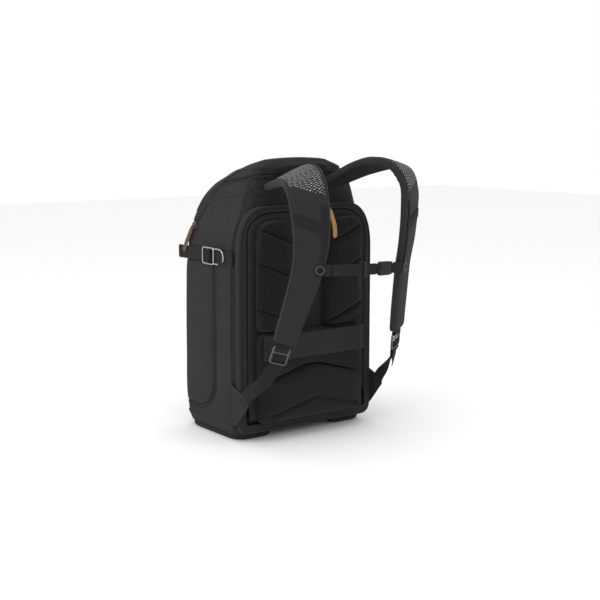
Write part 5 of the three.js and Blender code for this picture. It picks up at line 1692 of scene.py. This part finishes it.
frame_x = side_x + webbing_thick + 0.35 + wire / 2
frame_mid = hook_front + 4 - hook_length / 2
frame_end = frame_mid - hook_length / 2
bar_y = frame_mid + 0.5
ys = np.linspace(stub_reach, bar_y + 12.5, 30)
over_bar = [(bar_y + 9.5, 0.3), (bar_y + 6.8, 2.6), (bar_y + 4.2, 4.9), (bar_y + 1, 5.9), (bar_y - 2.4, 5.2),
            (bar_y - 5.2, 2.8), (bar_y - 7.4, 0.2)]
path = [(side_x + 1 + 0.25 * math.sin(y * 0.11) + 1.5 * ramp(y, 90, 107), y, hook_height) for y in ys]
path += [(side_x + 1 + lift, y, hook_height) for y, lift in over_bar]
out = [outward_x] * len(ys) + [(math.cos(a), -math.sin(a), 0) for a in (-0.5, -0.8, -0.6, 0, 0.6, 0.8, 0.6)]
both_sides("side_strap", webbing_band(np.array(path), np.array(out), webbing, 1.9), band_weave, "webbing",
           "compression_strap")
side_band(-10, -anchor_rear, 0, "side_anchor", "compression_anchor")
loop = rounded_loop(33 - wire, hook_length - wire, 4)
hook_path = np.array([(frame_x, frame_mid + v, hook_height + u) for u, v in loop])
parts = [rod(hook_path, np.tile(outward_x, (len(loop), 1)), wire, wire, True, 2)]
bar = np.array([(frame_x - 0.6, bar_y, hook_height + u) for u in np.linspace(-15, 15, 7)])
parts.append(rod(bar, np.tile(outward_x, (7, 1)), wire, wire, power=2))
both_sides("side_buckle", merged(parts), nickel, "metal", "ladder_buckle")
reach = hook_radius - wire / 2
hook_y = frame_end - 18.3
angles = np.linspace(math.pi * 0.5, math.pi * 1.18, 18)
path = [(frame_x + 0.4 * k, frame_end + 1.2 - 3.4 * k, hook_height + reach - 1.6 + 0.7 * k) for k in range(4)]
path += [(frame_x + 0.8, hook_y + reach * math.cos(a), hook_height + reach * math.sin(a)) for a in angles]
arm = [(frame_x, frame_end + 1.2 - 2.6 * k, hook_height - reach + 1) for k in range(7)]
parts = [rod(np.array(p), np.tile(outward_x, (len(p), 1)), wire, wire, power=2) for p in (path, arm)]
both_sides("side_hook", merged(parts), nickel, "metal", "buckle_hook")


# Grab handle: a rolled and padded bar of the bag's cloth, sewn into the back below the roof's edge
# at both ends, with a fold of cloth along its underside.
handle_half, handle_reach, handle_height = 54, 24, 502
handle_route = [(1, 0, 7), (0.96, 0.42, 6), (0.78, 0.82, 3.5), (0.42, 0.98, 1), (0, 1, 0)]
handle_points = [(-a * handle_half, -back_reach * 0.885 - o * handle_reach, handle_height - d)
                 for a, o, d in handle_route]
handle_points += [(-x, y, z) for x, y, z in handle_points[:-1][::-1]]
path, out = [], []
for share in np.linspace(0.02, 0.98, 60):
    spot, along = spline(handle_points, share)
    up = np.array([0, 0, 1.0]) - along * along[2]
    path.append(spot)
    out.append(np.cross(along, up / np.linalg.norm(up)))
path, out = np.array(path), np.array(out)
section = [(7.6, 0), (7.2, 2.8), (5.4, 4.5), (2, 5.2), (-2, 5.2), (-5.4, 4.5), (-7.2, 2.8), (-7.6, 0), (-7.0, -2.6),
           (-5, -4.3), (-1.2, -4.9), (-0.5, -4.2), (0, -4.9), (3, -4.8), (5.6, -4.0), (7.0, -2.6)]
spots, faces = sweep(path, out, section)
spots = spots + (0.7 * wander(spots, 16, 61))[:, None] * np.array([0, 1, 1])
# The handle takes the canvas darkened with painted shade, since it sits in the shadow under the roof's edge.
handle = make_piece("carry_handle", spots, faces, canvas_in_painted_shade, "canvas", ["grab_handle"])
for level in (-5.2, 5.2):
    stitch_lines.append(path[4:-4] + out[4:-4] * 4.9 + np.array([0, 0, level]))


# Zip sliders and pulls: cast metal sliders sit on the coils, with a bridge that holds a wire link.
# Each pull is tan leather, folded round its link and sewn down both edges.
def leather_finish(name, dark, light):
    """Vegetable-tanned leather: warm mottled tan, fine pores, and burnished dark edges by its own width."""
    material = bpy.data.materials.new(name)
    material.use_nodes = True
    nodes, links = material.node_tree.nodes, material.node_tree.links
    shader = nodes["Principled BSDF"]
    shader.inputs["Roughness"].default_value = 0.55
    shader.inputs["Specular IOR Level"].default_value = 0.35
    where = nodes.new("ShaderNodeTexCoord")
    cloud, pores = nodes.new("ShaderNodeTexNoise"), nodes.new("ShaderNodeTexVoronoi")
    cloud.inputs["Scale"].default_value = 140
    cloud.inputs["Detail"].default_value = 5
    pores.inputs["Scale"].default_value = 1500
    for node in (cloud, pores):
        links.new(where.outputs["Object"], node.inputs["Vector"])
    tone = nodes.new("ShaderNodeMix")
    tone.data_type = "RGBA"
    tone.inputs["A"].default_value = (*dark, 1)
    tone.inputs["B"].default_value = (*light, 1)
    links.new(cloud.outputs["Fac"], tone.inputs["Factor"])
    split = nodes.new("ShaderNodeSeparateXYZ")
    links.new(where.outputs["UV"], split.inputs["Vector"])
    aside = nodes.new("ShaderNodeMath")
    aside.operation = "ABSOLUTE"
    links.new(split.outputs["X"], aside.inputs[0])
    edge = nodes.new("ShaderNodeMapRange")
    edge.inputs["From Min"].default_value = 0.0037
    edge.inputs["From Max"].default_value = 0.0053
    edge.inputs["To Max"].default_value = 0.85
    links.new(aside.outputs[0], edge.inputs["Value"])
    burnt = nodes.new("ShaderNodeMix")
    burnt.data_type = "RGBA"
    burnt.inputs["B"].default_value = (0.13, 0.045, 0.012, 1)
    links.new(edge.outputs["Result"], burnt.inputs["Factor"])
    links.new(tone.outputs["Result"], burnt.inputs["A"])
    links.new(burnt.outputs["Result"], shader.inputs["Base Color"])
    bump = nodes.new("ShaderNodeBump")
    bump.inputs["Strength"].default_value = 0.25
    bump.inputs["Distance"].default_value = 0.0003
    links.new(pores.outputs["Distance"], bump.inputs["Height"])
    links.new(bump.outputs["Normal"], shader.inputs["Normal"])
    return material


leather = leather_finish("tan_leather", (0.30, 0.13, 0.035), (0.56, 0.30, 0.11))
dull_leather = leather_finish("brown_leather", (0.05, 0.025, 0.014), (0.115, 0.061, 0.036))


def slider(centre, along, across, out):
    """A zip slider: a shield-shaped body, a thin plate under it and a bridge over the top."""
    centre, along, across, out = (np.array(v, float) for v in (centre, along, across, out))
    parts = []
    for low, high, grow in ((-2.2, -1.2, 0.92), (-0.6, 1.0, 1)):
        rings = []
        for d, half in ((-5.4, 1.6), (-5, 2.4), (-3, 2.9), (0, 3.3), (2.5, 3.7), (4.2, 3.7), (5.2, 3.0), (5.5, 2.0)):
            for u, v in ((1, 0.25), (0.8, 0), (-0.8, 0), (-1, 0.25), (-1, 0.75), (-0.8, 1), (0.8, 1), (1, 0.75)):
                rings.append(centre + along * d * grow + across * u * half * grow + out * (low + (high - low) * v))
        faces = grid_faces(8, 8, closed=True) + [tuple(range(8))[::-1], tuple(range(56, 64))]
        parts.append((np.array(rings), faces))
    bridge = [(-4, 0.2), (-3.6, 1.5), (-2, 2.3), (0, 2.5), (2, 2.3), (3.6, 1.5), (4, 0.2)]
    path = np.array([centre + along * d + out * h for d, h in bridge])
    parts.append(rod(path, path - centre + out, 2.4, 1.1, power=3))
    return merged(parts)


def leather_pull(name, path, across_at, nodes, leather, width=10.4):
    """A folded leather strip along a path: narrow at the link, with a rounded end."""
    path = np.array(path, float)
    spots, lay, steps = [], [], len(path)
    ahead = np.gradient(path, axis=0)
    ahead /= np.linalg.norm(ahead, axis=1, keepdims=True)
    length = np.concatenate([[0], np.cumsum(np.linalg.norm(np.diff(path, axis=0), axis=1))])
    for k in range(steps):
        side = across_at - ahead[k] * ahead[k].dot(across_at)
        side /= np.linalg.norm(side)
        up = np.cross(ahead[k], side)
        rest = length[-1] - length[k]
        half = width / 2 * min(0.66 + 0.34 * ramp(length[k], 0, 9), math.sqrt(max(1 - ((6 - rest) / 6) ** 2, 0.12))
                               if rest < 6 else 1)
        for u, v in ((1, -0.5), (1, 0.5), (0.86, 1), (0.5, 1.08), (0, 1.1), (-0.5, 1.08), (-0.86, 1), (-1, 0.5),
                     (-1, -0.5), (-0.86, -1), (0, -1.05), (0.86, -1)):
            spots.append(path[k] + side * half * u + up * 1.15 * v)
            lay.append((half * u, length[k]))
    faces = grid_faces(steps, 12, closed=True)
    faces += [tuple(range(12))[::-1], tuple(range(12 * steps - 12, 12 * steps))]
    make_piece(name, spots, faces, leather, "leather", nodes, lay=lay)
    rows = []
    for sign in (-1, 1):
        for face in (-1, 1):
            row = []
            for k in range(2, steps - 2):
                side = across_at - ahead[k] * ahead[k].dot(across_at)
                side /= np.linalg.norm(side)
                row.append(path[k] + side * sign * 3.1 + np.cross(ahead[k], side) * face * 1.3)
            rows.append(np.array(row))
    set_along(name + "_stitches", stitch_tree, rows, 2.6, 1.9, 0.5, pull_thread)


pull_thread = cloth_finish("pull_thread", (0.50, 0.36, 0.20), (0.30, 0.19, 0.09), thread=0.3, roughness=0.7,
                           sheen=0.1, relief=0.1)
back_slider_at = (49, -94.1, 420.1)
make_piece("back_zip_runner", *slider(back_slider_at, (1, 0, 0), (0, 0, 1), (0, -1, 0)), gunmetal, "dark_metal",
           ["back_zip_slider"])
link_path = [(46.4, -96.4, 421), (46.0, -98.2, 419.5), (46.2, -99.6, 416.5), (49, -100.2, 414.8), (51.8, -99.6, 416.5),
             (52.0, -98.2, 419.5), (51.6, -96.4, 421), (49, -95.6, 421.8)]
link_path = np.array([spline(link_path + link_path[:1], t)[0] for t in np.linspace(0, 1, 25)[:-1]])
link_out = link_path - link_path.mean(axis=0)
make_piece("back_zip_link", *rod(link_path, link_out, 1.3, 1.3, True, 2), gunmetal, "dark_metal")
hang = [(48.9, -99.4, 420.6), (48.2, -101.6, 415.6), (47.0, -105.6, 409.8), (45.8, -110.6, 403.0), (44.9, -115.4, 395.6),
        (44.4, -118.4, 387.0), (44.2, -119.4, 378.0), (44.2, -119.2, 369.0)]
leather_pull("back_zip_leather", [spline(hang, t)[0] for t in np.linspace(0, 1, 26)], np.array([1.0, 0, 0]),
             ["back_zip_pull"], leather)
lid_slider_at = np.array([-149.7, 61, 391])
make_piece("lid_zip_runner", *slider(lid_slider_at, (0, 0, -1), (0, -1, 0), (-1, 0, 0)), gunmetal, "dark_metal",
           ["lid_zip_slider"])
link_path = [lid_slider_at + p for p in ((-1.4, -2.4, 2), (-3.4, -2.6, -1), (-4.4, -1.8, -4.5), (-4.8, 1, -6),
                                         (-4.4, 3.6, -4.5), (-3.4, 3.4, -1), (-1.4, 2.6, 2), (-0.8, 0, 2.8))]
link_path = np.array([spline(link_path + link_path[:1], t)[0] for t in np.linspace(0, 1, 25)[:-1]])
make_piece("lid_zip_link", *rod(link_path, link_path - link_path.mean(axis=0), 1.3, 1.3, True, 2), gunmetal,
           "dark_metal")
hang = [lid_slider_at + p for p in ((-4.2, 0.6, -2), (-5.2, 3.4, -7), (-6.6, 8.4, -17), (-8.0, 13.6, -27),
                                    (-9.0, 18.4, -37), (-9.4, 22.6, -45), (-9.2, 26.0, -51))]
leather_pull("lid_zip_leather", [spline(hang, t)[0] for t in np.linspace(0, 1, 26)], np.array([0, -1.0, 0]),
             ["lid_zip_pull"], dull_leather)


# Feet: two firm pads under the bag's sides, wrapped in a coated cloth of the bag's colour. They follow
# the bag's own outline, so that each meets the side without a step, and leave the middle raised.
foot_inside = 76
coated = cloth_finish("coated_cloth", (0.031, 0.0278, 0.0308), (0.0172, 0.0154, 0.0171), thread=1.4, roughness=0.7,
                      sheen=0.05, relief=0.35)
for side, word in ((1, "right"), (-1, "left")):
    rings = []
    for level, shrink in ((0.0, 7.0), (0.3, 4.0), (1.6, 2.0), (4.5, 0.6), (8.5, 0.2), (11.5, 1.8)):
        half, back, front, rear, fore = outline_at(14.0)
        outer, heel, toe = half - shrink, -(back - shrink), front - shrink - 2
        inner = foot_inside - level * 0.6 + shrink * 0.8
        ring = []
        for x, y, radius, start in ((outer, toe, 34, 0), (inner, toe, 6, 90), (inner, heel, 6, 180), (outer, heel, 24, 270)):
            cx, cy = x - math.copysign(radius, x - (inner + outer) / 2), y - math.copysign(radius, y)
            for angle in np.radians(np.linspace(start, start + 90, 7)):
                ring.append((side * (cx + radius * math.cos(angle)), cy + radius * math.sin(angle), level))
        rings.append(ring)
    count = len(rings[0])
    spots = np.array(rings).reshape(-1, 3)
    faces = grid_faces(len(rings), count, closed=True)
    faces += [tuple(range(count))[::-1], tuple(range(len(spots) - count, len(spots)))]
    make_piece("foot_" + word + "_wrap", spots, faces, coated, "rubber", ["foot_" + word])


# Stitches: every row of sewing on the bag, set one by one along the seams that carry it.
set_along("seam_stitches", stitch_tree, stitch_lines, 3.2, 2.3, 0.55, seam_thread)
